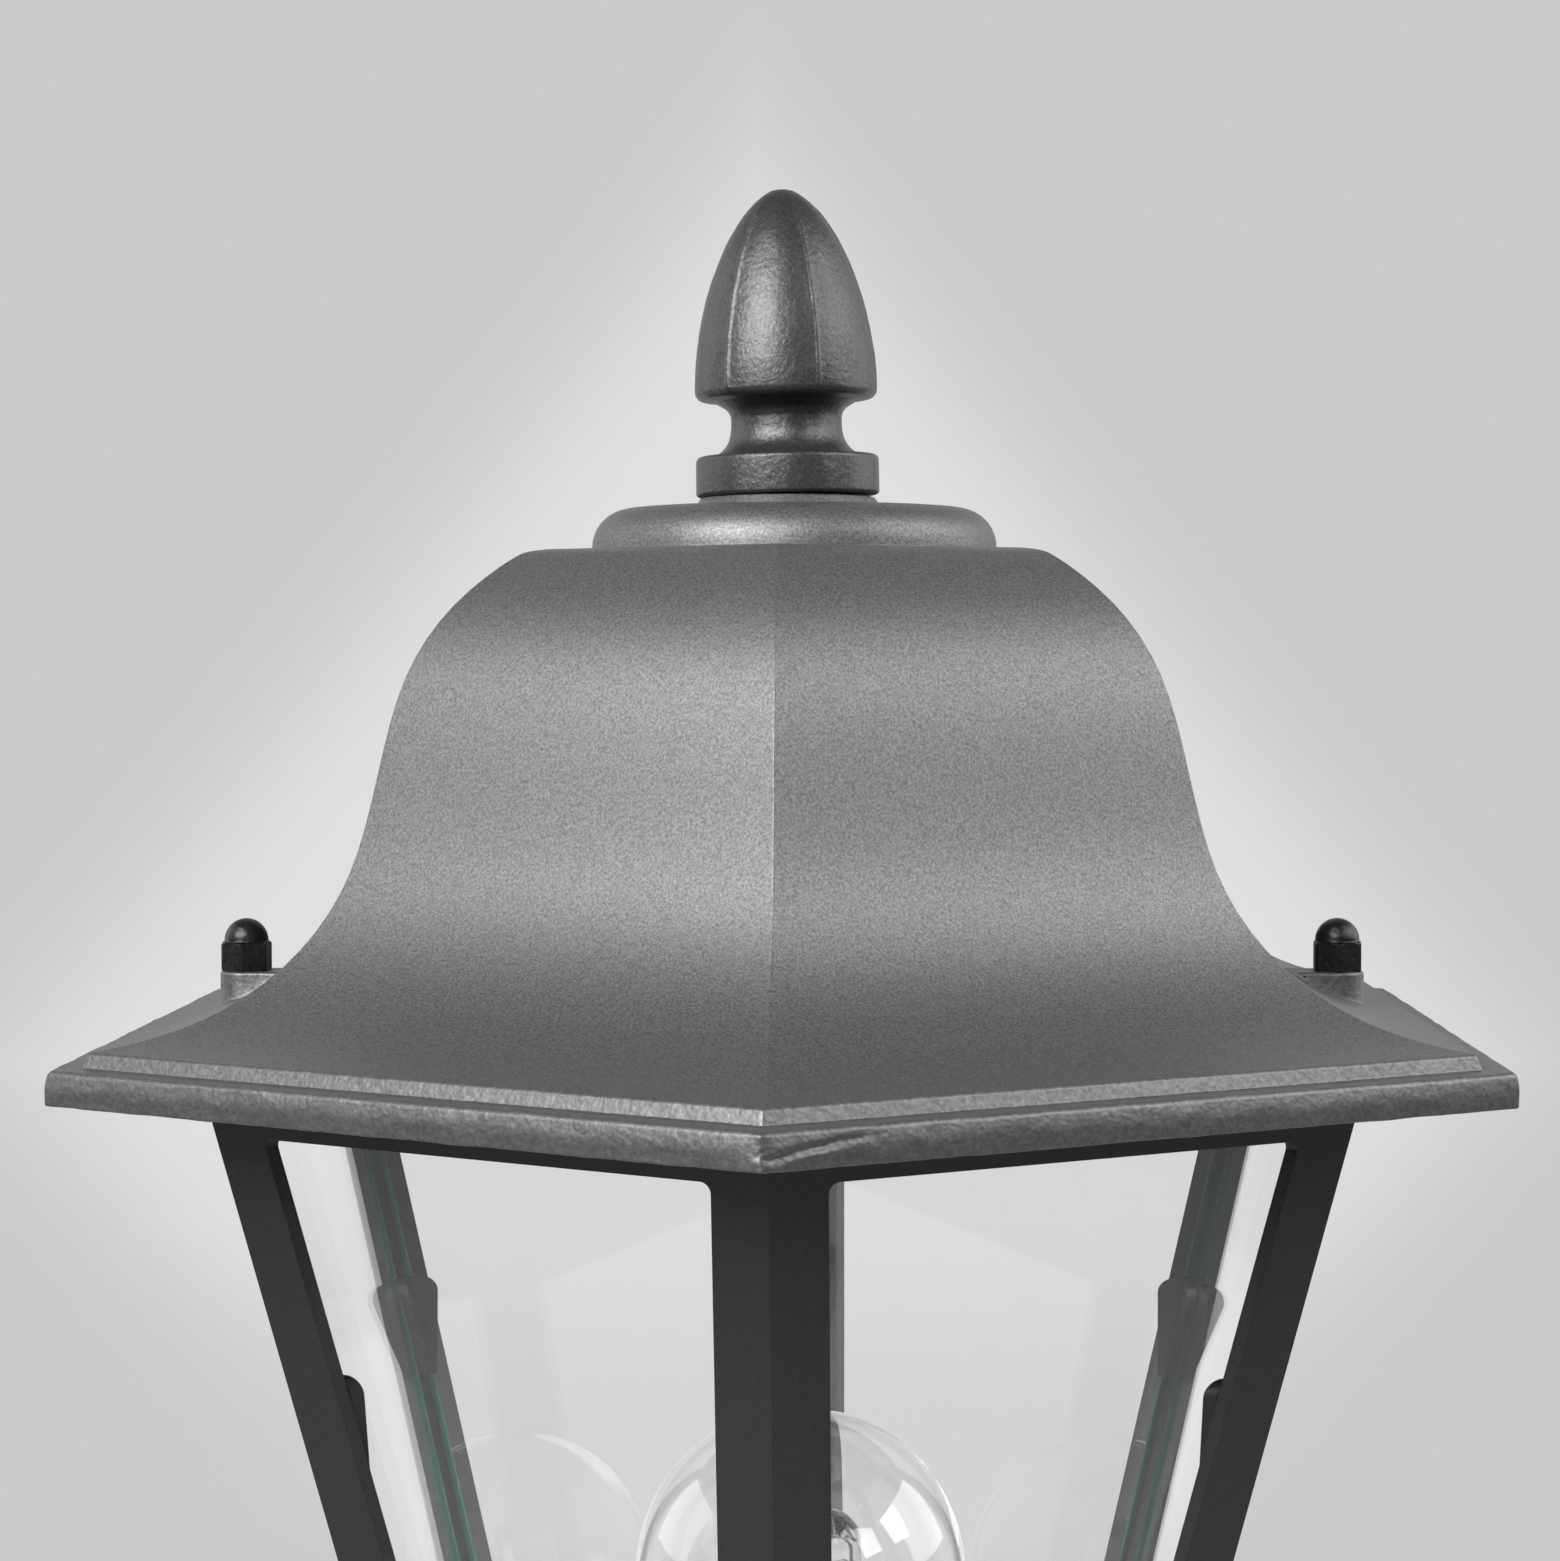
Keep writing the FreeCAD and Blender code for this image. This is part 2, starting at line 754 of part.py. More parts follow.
def frame_lugs():
    """The wedge-shaped lugs behind the panes, bent along each post, and the webs that join them to it."""
    behind_glass = S["frame_wall"] + S["glass_thickness"] + 2 * S["glass_clearance"]
    lug_back = behind_glass + S["lug_thickness"]
    head = frame_foot + S["lug_top"]
    tip = head - S["lug_height"]
    outline = tapered_outline(S["lug_tip_half_width"], S["lug_half_width"], tip, head, None, S["lug_round"])
    wedges = joined("lug_wedges", crossing_bars("lug", outline, through_length))
    layer = cut(
        "lug_layer",
        frame_block("lug_front", behind_glass, tip - OVERCUT, head + OVERCUT),
        frame_block("lug_back", lug_back, tip - OVERCUT * 2, head + OVERCUT * 2),
    )
    web_foot = head - S["lug_web_height"]
    half_web = S["lug_web_thickness"] / 2
    web_outline = tapered_outline(half_web, half_web, web_foot, head)
    blades = joined("web_blades", crossing_bars("web", web_outline, through_length))
    half_wall = S["frame_wall"] / 2
    web_back = lug_back - S["lug_thickness"] / 2
    gap = cut(
        "web_layer",
        frame_block("web_front", half_wall, web_foot - OVERCUT, head + OVERCUT),
        frame_block("web_back", web_back, web_foot - OVERCUT * 2, head + OVERCUT * 2),
    )
    return [overlap("lugs", [wedges, layer]), overlap("webs", [blades, gap])]


def hole_ring(name, count, circle, radius, foot, height):
    """Upright round tools, evenly spaced on a circle, the first one towards +Y."""
    ring = []
    for index in range(count):
        tool = cylinder(f"{name}_{index + 1}", radius, height)
        ring.append(put_round(tool, circle, 90.0 + 360.0 * index / count, foot))
    return ring


def holder_screw_places():
    return [S["lamp_shift"] - S["holder_screw_circle"], S["lamp_shift"] + S["holder_screw_circle"]]


def make_frame():
    wall = S["frame_wall"]
    flange = doc.addObject("Part::Prism", "seat_flange")
    flange.Polygon = SIDES
    flange_apothem = rim_inner_apothem - S["seat_flange_clearance"]
    bind(flange, "Circumradius", flange_apothem / COS_HALF_SIDE)
    bind(flange, "Height", S["seat_flange_thickness"])
    put(flange, z=seat_level - S["seat_flange_thickness"], turn=CORNER_TURN)
    shell = joined("frame_shell", [frame_block("frame_outside", 0.0, frame_foot, seat_level), flange])
    chamber = frame_block("frame_inside", wall, floor_top, seat_level + OVERCUT)
    walls = cut("frame_walls", shell, joined("frame_hollows", [chamber] + frame_windows()))
    casting = joined("frame_casting", [walls] + frame_lugs())

    deep = S["floor_thickness"] + 2 * OVERCUT
    low = frame_foot - OVERCUT
    screw_hole = S["frame_screw_radius"] + S["screw_clearance"]
    tools = hole_ring("frame_screw_hole", FRAME_SCREWS, S["frame_screw_circle"], screw_hole, low, deep)
    tools.append(cylinder("frame_lead_hole", S["grommet_radius"] + S["thread_clearance"], deep,
                          x=S["lamp_shift"], z=low))
    for index, x in enumerate(holder_screw_places()):
        tap = S["holder_screw_radius"] + S["thread_clearance"]
        tools.append(cylinder(f"frame_tap_{index + 1}", tap, deep, x=x, z=low))
    flange_low = seat_level - S["seat_flange_thickness"] - OVERCUT
    for side, turn in STUD_TURNS.items():
        tools.append(stud_hole("frame_stud_hole", side, turn, flange_low,
                               S["seat_flange_thickness"] + 2 * OVERCUT, S["thread_clearance"]))
    node("lantern_frame", cut("frame_cut", casting, joined("frame_tools", tools)))


# Glass panes

def make_panes():
    """Six flat panes that stand on the floor, against the inside of the posts."""
    front = S["frame_wall"] + S["glass_clearance"]
    foot = floor_top + S["glass_clearance"]
    head = seat_level - S["glass_head_gap"]
    half_foot = frame_corner(foot, front) / 2 - S["glass_side_gap"]
    half_head = frame_corner(head, front) / 2 - S["glass_side_gap"]
    run = (head - foot) * face_stretch
    apothem = frame_corner(foot, front) * COS_HALF_SIDE
    lean = math.degrees(math.atan(face_slope.value))
    outline = [(half_foot, 0), (half_head, run), (-half_head, run), (-half_foot, 0)]
    for index in range(SIDES):
        body = new_body(f"glass_pane_{index + 1}")
        pad(body, "YZ_Plane", outline, S["glass_thickness"], reverse=True)
        leaning = Placement(Vector(apothem.value, 0, foot.value), Rotation(Vector(0, 1, 0), lean))
        around = Placement(Vector(0, 0, 0), Rotation(Vector(0, 0, 1), SIDE_TURN * index))
        body.Placement = around * leaning
        node(f"glass_pane_{index + 1}", body)


# Finial

def lean_placement():
    """The finial's seat, shifted and leaning to -X, lifted so that its collar rests on one edge."""
    lift = S["collar_radius"].value * math.sin(math.radians(S["finial_lean"].value))
    seat = Vector(-S["finial_shift"].value, 0, finial_seat.value + lift)
    return Placement(seat, Rotation(Vector(0, 1, 0), -S["finial_lean"].value))


def cove_radius(across, along):
    """Return the radius of an arc that starts upright and covers the given steps."""
    return (across * across + along * along) / (2 * across)


def make_finial():
    edge = S["collar_round"]
    collar = S["collar_radius"]
    neck = S["finial_neck_radius"]
    neck_level = S["finial_neck_level"]
    tip_level = S["finial_height"] - S["acorn_tip_round"]
    acorn = S["acorn_radius"]
    acorn_curve = cove_radius(acorn - S["acorn_tip_radius"], tip_level - S["acorn_level"])
    body = new_body("finial")
    revolve(body, [
        (0, 0),
        (collar - edge, 0),
        (collar, edge, edge, 1),
        (collar, S["collar_height"] - edge),
        (collar - edge, S["collar_height"], edge, 1),
        (S["finial_neck_foot"], S["collar_height"]),
        (neck, neck_level, cove_radius(S["finial_neck_foot"] - neck, neck_level - S["collar_height"]), -1),
        (S["finial_neck_head"], S["acorn_underside"],
         cove_radius(S["finial_neck_head"] - neck, S["acorn_underside"] - neck_level), -1),
        (S["acorn_lip_radius"], S["acorn_lip"]),
        (acorn, S["acorn_level"],
         cove_radius(acorn - S["acorn_lip_radius"], S["acorn_level"] - S["acorn_lip"]), 1),
        (S["acorn_tip_radius"], tip_level, acorn_curve, 1),
        (0, S["finial_height"]),
    ])

    seam_curve = acorn_curve + S["seam_height"]
    seam_top = tip_level - S["acorn_tip_radius"]
    rise = seam_top - S["acorn_level"]
    seam_end = acorn - acorn_curve + root_of(seam_curve * seam_curve - rise * rise)
    seam = pad(body, "XZ_Plane", [
        (acorn - S["acorn_tip_radius"], S["acorn_level"]),
        (acorn + S["seam_height"], S["acorn_level"]),
        (seam_end, seam_top, seam_curve, 1),
        (seam_end - S["seam_width"], seam_top),
    ], S["seam_width"], midplane=True)
    doc.recompute()
    seams = body.newObject("PartDesign::PolarPattern", "seams")
    seams.Originals = [seam]
    seams.Axis = ([item for item in body.Origin.OriginFeatures if item.Role == "Z_Axis"][0], [""])
    seams.Angle = 360.0
    seams.Occurrences = SIDES
    body.Tip = seams
    doc.recompute()

    bore = S["finial_stud_radius"] + S["thread_clearance"]
    depth = S["finial_stud_up"] + edge
    revolve(body, [(0, 0), (bore, 0), (bore, depth), (0, depth)], "Groove")
    turn = Placement(Vector(0, 0, 0), Rotation(Vector(0, 0, 1), S["finial_turn"].value))
    body.Placement = lean_placement() * turn
    node("finial", body)

    stud = doc.addObject("Part::Cylinder", "finial_stud_bar")
    bind(stud, "Radius", S["finial_stud_radius"])
    bind(stud, "Height", S["finial_stud_up"] + S["finial_stud_down"])
    below = Placement(Vector(0, 0, -S["finial_stud_down"].value), Rotation())
    stud.Placement = lean_placement() * below
    node("finial_stud", stud)

    bore = S["finial_stud_radius"] + S["finial_nut_clearance"]
    washer_foot = disc_ceiling - S["finial_washer_thickness"]
    nut_foot = washer_foot - S["finial_nut_height"]
    stud_drift = tan_of(S["finial_lean"]) * (finial_seat - nut_foot - S["finial_nut_height"] / 2)
    place = stud_drift - S["finial_shift"]
    washer = turned("finial_washer", [
        (bore + S["finial_nut_clearance"], 0),
        (S["finial_washer_radius"], 0),
        (S["finial_washer_radius"], S["finial_washer_thickness"]),
        (bore + S["finial_nut_clearance"], S["finial_washer_thickness"]),
    ])
    node("finial_washer", put(washer, x=place, z=washer_foot))
    nut = new_body("finial_nut")
    corner = S["finial_nut_flats"] / (2 * COS_HALF_SIDE)
    pad(nut, "XY_Plane", hexagon_outline(corner), S["finial_nut_height"])
    revolve(nut, [(0, 0), (bore, 0), (bore, S["finial_nut_height"]), (0, S["finial_nut_height"])], "Groove")
    node("finial_nut", put(nut, x=place, z=nut_foot))


# Lamp holder

contact_level = floor_top + S["holder_base"]
bulb_foot = contact_level + S["contact_thickness"]


def pan_screw(name, radius, head_radius, head_height, depth):
    """A pan-head screw; the underside of its head is at the origin of its own frame."""
    edge = S["screw_head_round"]
    return turned(name, [
        (0, -depth),
        (radius, -depth),
        (radius, 0),
        (head_radius, 0),
        (head_radius, head_height - edge),
        (head_radius - edge, head_height, edge, 1),
        (0, head_height),
    ])


def make_holder():
    bore = S["shell_radius"] + S["shell_wall"] + S["shell_clearance"]
    lip = S["holder_lip_round"]
    outer = S["holder_radius"]
    wire_hole = S["lead_radius"] + S["lead_clearance"]
    body = turned("holder_porcelain", [
        (wire_hole, 0),
        (outer, 0),
        (outer, S["holder_height"] - lip),
        (outer - lip, S["holder_height"], lip, 1),
        (bore, S["holder_height"]),
        (bore, S["holder_base"]),
        (wire_hole, S["holder_base"]),
    ])
    put(body, x=S["lamp_shift"], z=floor_top)
    holes = []
    screws = []
    for index, x in enumerate(holder_screw_places()):
        radius = S["holder_screw_radius"] + S["screw_clearance"]
        holes.append(cylinder(f"holder_hole_{index + 1}", radius, S["holder_base"] + 2 * OVERCUT,
                              x=x, z=floor_top - OVERCUT))
        screw = pan_screw(f"holder_screw_{index + 1}", S["holder_screw_radius"], S["holder_screw_head_radius"],
                          S["holder_screw_head_height"], S["holder_base"] + S["floor_thickness"])
        screws.append(put(screw, x=x, z=contact_level))
    node("holder_body", cut("holder_cut", body, joined("holder_holes", holes)))
    node("holder_screws", group("holder_screw_pair", screws))

    shell = turned("holder_thread_shell", [
        (S["shell_radius"], 0),
        (S["shell_radius"] + S["shell_wall"], 0),
        (S["shell_radius"] + S["shell_wall"], S["shell_height"]),
        (S["shell_radius"], S["shell_height"]),
    ])
    node("holder_shell", put(shell, x=S["lamp_shift"], z=contact_level + S["shell_lift"]))
    strip = cylinder("holder_strip", S["contact_radius"], S["contact_thickness"],
                     x=S["lamp_shift"], z=contact_level)
    node("holder_contact", strip)


# Bulb, drawn upwards from its centre contact

def bulb_outline(depth):
    """Return the bulb's section from the neck's foot to the top, a depth inside the glass."""
    globe = S["bulb_radius"] - depth
    neck = S["bulb_neck_radius"] - depth
    bend = S["bulb_neck_round"] + depth
    center = S["bulb_length"] - S["bulb_radius"]
    across = S["bulb_neck_radius"] + S["bulb_neck_round"]
    reach = S["bulb_radius"] + S["bulb_neck_round"]
    fall = root_of(reach * reach - across * across)
    meet = (across * globe / reach, center - fall * globe / reach)
    return neck, center - fall, meet, bend, center, globe


def make_bulb():
    x = S["lamp_shift"]
    neck_foot = S["stem_lift"] - S["stem_flare"]
    neck, neck_head, meet, bend, center, globe = bulb_outline(0.0)
    inner_neck, _, inner_meet, inner_bend, _, inner_globe = bulb_outline(S["bulb_wall"])
    glass = turned("bulb_envelope", [
        (inner_neck, neck_foot),
        (neck, neck_foot),
        (neck, neck_head),
        meet + (bend, -1),
        (globe, center, globe, 1),
        (0, center + globe, globe, 1),
        (0, center + inner_globe),
        (inner_globe, center, inner_globe, -1),
        inner_meet + (inner_globe, -1),
        (inner_neck, neck_head, inner_bend, 1),
    ])
    node("bulb_glass", put(glass, x=x, z=bulb_foot))

    cap = S["cap_radius"]
    wall = S["cap_wall"]
    foot = S["cap_lift"]
    cap_shell = turned("bulb_screw_cap", [
        (S["cap_foot_radius"], foot),
        (cap, foot + S["cap_taper"]),
        (cap, foot + S["cap_height"]),
        (cap - wall, foot + S["cap_height"]),
        (cap - wall, foot + S["cap_taper"] + wall),
        (S["cap_foot_radius"] - wall, foot + wall),
        (S["cap_foot_radius"] - wall, foot),
    ])
    node("bulb_cap", put(cap_shell, x=x, z=bulb_foot))
    insulator_foot = foot - S["insulator_height"]
    insulator = turned("bulb_glass_insulator", [
        (0, insulator_foot),
        (S["insulator_foot_radius"], insulator_foot),
        (S["cap_foot_radius"], foot),
        (0, foot),
    ])
    node("bulb_insulator", put(insulator, x=x, z=bulb_foot))
    tip = turned("bulb_tip", [
        (0, 0),
        (S["bulb_contact_radius"] / 2, 0),
        (S["bulb_contact_radius"], insulator_foot),
        (0, insulator_foot),
    ])
    node("bulb_contact", put(tip, x=x, z=bulb_foot))

    flare = inner_neck - S["stem_clearance"]
    stem_top = neck_foot + S["stem_height"]
    stem = turned("bulb_stem_glass", [
        (0, neck_foot),
        (flare, neck_foot),
        (flare, neck_foot + S["stem_flare"]),
        (S["stem_radius"], neck_foot + S["stem_taper"]),
        (S["stem_radius"], stem_top),
        (0, stem_top),
    ])
    node("bulb_stem", put(stem, x=x, z=bulb_foot))

    capsule_x = x + S["capsule_shift"]
    pinch_foot = stem_top + S["wire_length"]
    spread = S["wire_spread"]
    wires = []
    for index, offset in enumerate((-spread, spread)):
        wires.append(cylinder(f"bulb_wire_{index + 1}", S["wire_radius"], S["wire_length"],
                              x=capsule_x + offset, z=bulb_foot + stem_top))
    node("bulb_wires", group("bulb_wire_pair", wires))
    make_capsule(capsule_x, bulb_foot + pinch_foot)


def make_capsule(x, foot):
    """The halogen capsule: a quartz tube on a flat pinch, and the filament inside on its two legs."""
    radius = S["capsule_radius"]
    wall = S["capsule_wall"]
    inner = radius - wall
    pinch = S["pinch_height"]
    head = S["capsule_height"]
    capsule = turned("capsule_tube", [
        (0, pinch - wall),
        (radius, pinch - wall),
        (radius, head - radius),
        (0, head, radius, 1),
        (0, head - wall),
        (inner, head - radius, inner, -1),
        (inner, pinch),
        (0, pinch),
    ])
    outline = [
        (S["pinch_width"] / 2, -S["pinch_depth"] / 2),
        (S["pinch_width"] / 2, S["pinch_depth"] / 2),
        (-S["pinch_width"] / 2, S["pinch_depth"] / 2),
        (-S["pinch_width"] / 2, -S["pinch_depth"] / 2),
    ]
    pad(capsule, "XY_Plane", outline, pinch - wall / 2)
    node("bulb_capsule", put(capsule, x=x, z=foot))

    spread = S["wire_spread"]
    thin = S["filament_wire_radius"]
    base = foot + pinch
    coil_foot = base + S["filament_leg"]
    link_foot = coil_foot + thin
    coil_head = coil_foot + S["filament_length"]
    left_leg = cylinder("filament_left_leg", thin, link_foot - base + thin, x=x - spread, z=base)
    right_leg = cylinder("filament_right_leg", thin, coil_head - base, x=x + spread, z=base)
    coil = cylinder("filament_coil", S["filament_radius"], S["filament_length"], x=x, z=coil_foot)
    links = []
    for index, (start, level) in enumerate(((x - spread, link_foot), (x, coil_head - thin))):
        link = cylinder(f"filament_link_{index + 1}", S["filament_link_radius"], spread, x=start, z=level)
        link.Placement = Placement(link.Placement.Base, Rotation(Vector(0, 1, 0), 90))
        links.append(link)
    node("bulb_filament", joined("filament_parts", [left_leg, right_leg, coil] + links))


# Pedestal, its gasket, screws and wiring

def pedestal_coves():
    """Return the radii of the two coves that lead from the hub to the neck and from the neck to the cup."""
    neck = S["pedestal_neck_radius"]
    low_curve = cove_radius(S["hub_radius"] - neck, neck_low - S["flange_thickness"])
    high_curve = cove_radius(S["cup_radius"] - neck, cup_low - neck_high)
    return low_curve, high_curve


def spigot_radius():
    return S["pedestal_neck_radius"] - S["pedestal_wall"] - S["spigot_clearance"]


def foot_outside():
    """The flanged foot, drawn in to the neck, with the spigot that the cup stands on."""
    neck = S["pedestal_neck_radius"]
    edge = S["flange_edge_round"]
    spigot_top = neck_joint + S["spigot_height"]
    return turned("foot_outside", [
        (0, 0),
        (S["flange_radius"], 0),
        (S["flange_radius"], S["flange_thickness"] - edge),
        (S["flange_radius"] - edge, S["flange_thickness"], edge, 1),
        (S["hub_radius"], S["flange_thickness"]),
        (neck, neck_low, pedestal_coves()[0], -1),
        (neck, neck_joint),
        (spigot_radius(), neck_joint),
        (spigot_radius(), spigot_top),
        (0, spigot_top),
    ])


def foot_inside():
    """The hollow of the foot, one wall inside its cove, open below and through the spigot."""
    neck = S["pedestal_neck_radius"]
    wall = S["pedestal_wall"]
    low_curve = pedestal_coves()[0]
    mouth = (
        S["hub_radius"] - wall * (neck + low_curve - S["hub_radius"]) / low_curve,
        S["flange_thickness"] - wall * (neck_low - S["flange_thickness"]) / low_curve,
    )
    bore = spigot_radius() - S["spigot_wall"]
    spigot_top = neck_joint + S["spigot_height"]
    return turned("foot_inside", [
        (0, -OVERCUT),
        (mouth[0], -OVERCUT),
        mouth,
        (neck - wall, neck_low, low_curve + wall, -1),
        (bore, neck_joint),
        (bore, spigot_top + OVERCUT),
        (0, spigot_top + OVERCUT),
    ])


def cup_outside():
    neck = S["pedestal_neck_radius"]
    return turned("cup_outside", [
        (0, neck_joint),
        (neck, neck_joint),
        (neck, neck_high),
        (S["cup_radius"], cup_low, pedestal_coves()[1], -1),
        (S["cup_radius"], S["pedestal_height"]),
        (0, S["pedestal_height"]),
    ])


def cup_inside():
    """The hollow of the cup, one wall inside its cove, open below."""
    neck = S["pedestal_neck_radius"]
    wall = S["pedestal_wall"]
    cup = S["cup_radius"] - wall
    high_curve = pedestal_coves()[1]
    reach = high_curve + wall
    across = neck + high_curve - cup
    cup_level = neck_high + root_of(reach * reach - across * across)
    ceiling = S["pedestal_height"] - wall
    return turned("cup_inside", [
        (0, neck_joint - OVERCUT),
        (neck - wall, neck_joint - OVERCUT),
        (neck - wall, neck_high),
        (cup, cup_level, reach, -1),
        (cup, ceiling),
        (0, ceiling),
    ])


def towards_back(obj, start, level):
    """Lay an upright round bar down along +Y, starting at a distance from the lamp's axis."""
    put(obj, y=start, z=level)
    obj.Placement = Placement(obj.Placement.Base, Rotation(Vector(1, 0, 0), -90))
    return obj


def make_pedestal_foot():
    bosses = []
    tools = hole_ring("fixing_hole", FIXING_HOLES, S["fixing_circle_radius"], S["fixing_hole_radius"],
                      as_size(-OVERCUT), S["flange_thickness"] + 2 * OVERCUT)
    for index, turn in enumerate((0.0, 180.0)):
        boss = cylinder(f"bridge_boss_{index + 1}", S["bridge_boss_radius"], neck_low - S["bridge_level"])
        bosses.append(put_round(boss, S["bridge_screw_offset"], turn, S["bridge_level"]))
        tap = cylinder(f"bridge_tap_{index + 1}", S["bridge_screw_radius"] + S["thread_clearance"],
                       S["bridge_screw_depth"] + 2 * OVERCUT)
        tools.append(put_round(tap, S["bridge_screw_offset"], turn, S["bridge_level"] - OVERCUT))
    hollow = cut("foot_hollow", foot_inside(), joined("foot_bosses", bosses))
    shell = cut("foot_shell", foot_outside(), hollow)
    node("pedestal_foot", cut("foot_cut", shell, joined("foot_tools", tools)))


def make_pedestal_cup():
    ceiling = S["pedestal_height"] - S["pedestal_wall"]
    bosses = hole_ring("frame_boss", FRAME_SCREWS, S["frame_screw_circle"], S["frame_boss_radius"],
                       ceiling - S["frame_boss_height"], S["frame_boss_height"] + OVERCUT)
    hollow = cut("cup_hollow", cup_inside(), joined("cup_bosses", bosses))

    tap_depth = S["frame_screw_depth"] + OVERCUT
    tools = hole_ring("cup_tap", FRAME_SCREWS, S["frame_screw_circle"],
                      S["frame_screw_radius"] + S["thread_clearance"],
                      S["pedestal_height"] - tap_depth, tap_depth + OVERCUT)
    tools.append(cylinder("cup_lead_hole", S["grommet_radius"] + S["thread_clearance"],
                          S["pedestal_wall"] + 2 * OVERCUT, x=S["lamp_shift"], z=ceiling - OVERCUT))
    screw_level = neck_joint + S["neck_screw_lift"]
    tap = cylinder("neck_screw_tap", S["neck_screw_radius"] + S["thread_clearance"], S["pedestal_neck_radius"])
    tools.append(towards_back(tap, S["spigot_clearance"], screw_level))
    shell = cut("cup_shell", cup_outside(), hollow)
    node("pedestal_cup", cut("cup_cut", shell, joined("cup_tools", tools)))

    screw = cylinder("neck_grub_screw", S["neck_screw_radius"], S["neck_screw_length"])
    node("neck_screw", towards_back(screw, spigot_radius(), screw_level))


def make_gasket():
    disc = cylinder("gasket_disc", S["cup_radius"], S["gasket_thickness"], z=S["pedestal_height"])
    deep = S["gasket_thickness"] + 2 * OVERCUT
    low = S["pedestal_height"] - OVERCUT
    screw_hole = S["frame_screw_radius"] + S["screw_clearance"]
    tools = hole_ring("gasket_screw_hole", FRAME_SCREWS, S["frame_screw_circle"], screw_hole, low, deep)
    tools.append(cylinder("gasket_lead_hole", S["grommet_radius"] + S["thread_clearance"], deep,
                          x=S["lamp_shift"], z=low))
    node("pedestal_gasket", cut("gasket_cut", disc, joined("gasket_tools", tools)))


def make_frame_screws():
    screws = []
    depth = S["floor_thickness"] + S["gasket_thickness"] + S["frame_screw_depth"]
    for index in range(FRAME_SCREWS):
        screw = pan_screw(f"frame_screw_{index + 1}", S["frame_screw_radius"], S["frame_screw_head_radius"],
                          S["frame_screw_head_height"], depth)
        screws.append(put_round(screw, S["frame_screw_circle"], 90.0 + 360.0 * index / FRAME_SCREWS, floor_top))
    node("frame_screws", group("frame_screw_set", screws))


def make_wiring():
    x = S["lamp_shift"]
    ceiling = S["pedestal_height"] - S["pedestal_wall"]
    lead_bore = S["lead_radius"] + S["lead_clearance"]
    lip_foot = ceiling - S["grommet_lip_thickness"]
    grommet = turned("grommet_rubber", [
        (lead_bore, lip_foot),
        (S["grommet_lip_radius"], lip_foot),
        (S["grommet_lip_radius"], ceiling),
        (S["grommet_radius"], ceiling),
        (S["grommet_radius"], floor_top),
        (lead_bore, floor_top),
    ])
    node("lead_grommet", put(grommet, x=x))

    bridge_foot = S["bridge_level"] - S["bridge_thickness"]
    bridge = box("bridge_strip", S["bridge_half_length"], S["bridge_half_width"], S["bridge_thickness"],
                 z=bridge_foot)
    deep = S["bridge_thickness"] + 2 * OVERCUT
    low = bridge_foot - OVERCUT
    tools = [
        cylinder("bridge_foot_hole", S["terminal_foot_radius"] + S["screw_clearance"], deep, x=x, z=low),
        cylinder("bridge_earth_tap", S["earth_screw_radius"] + S["thread_clearance"], deep,
                 x=-S["earth_screw_offset"], z=low),
    ]
    screws = []
    for index, side in enumerate((1.0, -1.0)):
        place = S["bridge_screw_offset"] * side
        tools.append(cylinder(f"bridge_hole_{index + 1}", S["bridge_screw_radius"] + S["screw_clearance"], deep,
                              x=place, z=low))
        depth = S["bridge_thickness"] + S["bridge_screw_depth"]
        screw = pan_screw(f"bridge_screw_{index + 1}", S["bridge_screw_radius"], S["bridge_screw_head_radius"],
                          S["bridge_screw_head_height"], depth)
        upside_down = Rotation(Vector(1, 0, 0), 180)
        screw.Placement = Placement(Vector(place.value, 0, bridge_foot.value), upside_down)
        screws.append(screw)
    node("terminal_bridge", cut("bridge_cut", bridge, joined("bridge_tools", tools)))
    node("bridge_screws", group("bridge_screw_pair", screws))

    block = box("terminal_moulding", S["terminal_half_length"], S["terminal_half_width"], S["terminal_height"],
                x=x, z=S["bridge_level"])
    foot = cylinder("terminal_foot", S["terminal_foot_radius"], S["bridge_thickness"] + OVERCUT,
                    x=x, z=bridge_foot)
    wells = []
    for index, side in enumerate((1.0, -1.0)):
        wells.append(cylinder(f"terminal_well_{index + 1}", S["terminal_well_radius"],
                              S["terminal_well_depth"] + OVERCUT,
                              x=x + S["terminal_well_offset"] * side,
                              z=S["bridge_level"] + S["terminal_height"] - S["terminal_well_depth"]))
    moulding = joined("terminal_solid", [block, foot])
    node("terminal_block", cut("terminal_cut", moulding, joined("terminal_wells", wells)))

    earth = pan_screw("earth_screw_turned", S["earth_screw_radius"], S["earth_screw_head_radius"],
                      S["earth_screw_head_height"], S["earth_screw_depth"])
    node("earth_screw", put(earth, x=-S["earth_screw_offset"], z=S["bridge_level"]))

    lead_foot = S["bridge_level"] + S["terminal_height"]
    lead_top = contact_level - S["lead_end_gap"]
    node("holder_lead", cylinder("lead_sheath", S["lead_radius"], lead_top - lead_foot, x=x, z=lead_foot))


def check_and_write():
    """Stop if any object failed or any piece is unsound, then write one file for each piece."""
    doc.recompute()
    for obj in doc.Objects:
        if "Invalid" in obj.State or "Error" in obj.State:
            raise RuntimeError(f"{obj.Name} failed: {obj.State}")
    for obj in nodes:
        if obj.Shape.isNull() or not obj.Shape.isValid() or not obj.Shape.Solids:
            raise RuntimeError(f"{obj.Label} has no sound solid")
    os.makedirs("parts", exist_ok=True)
    for obj in nodes:
        obj.Shape.exportStep(f"parts/{obj.Label}.step")


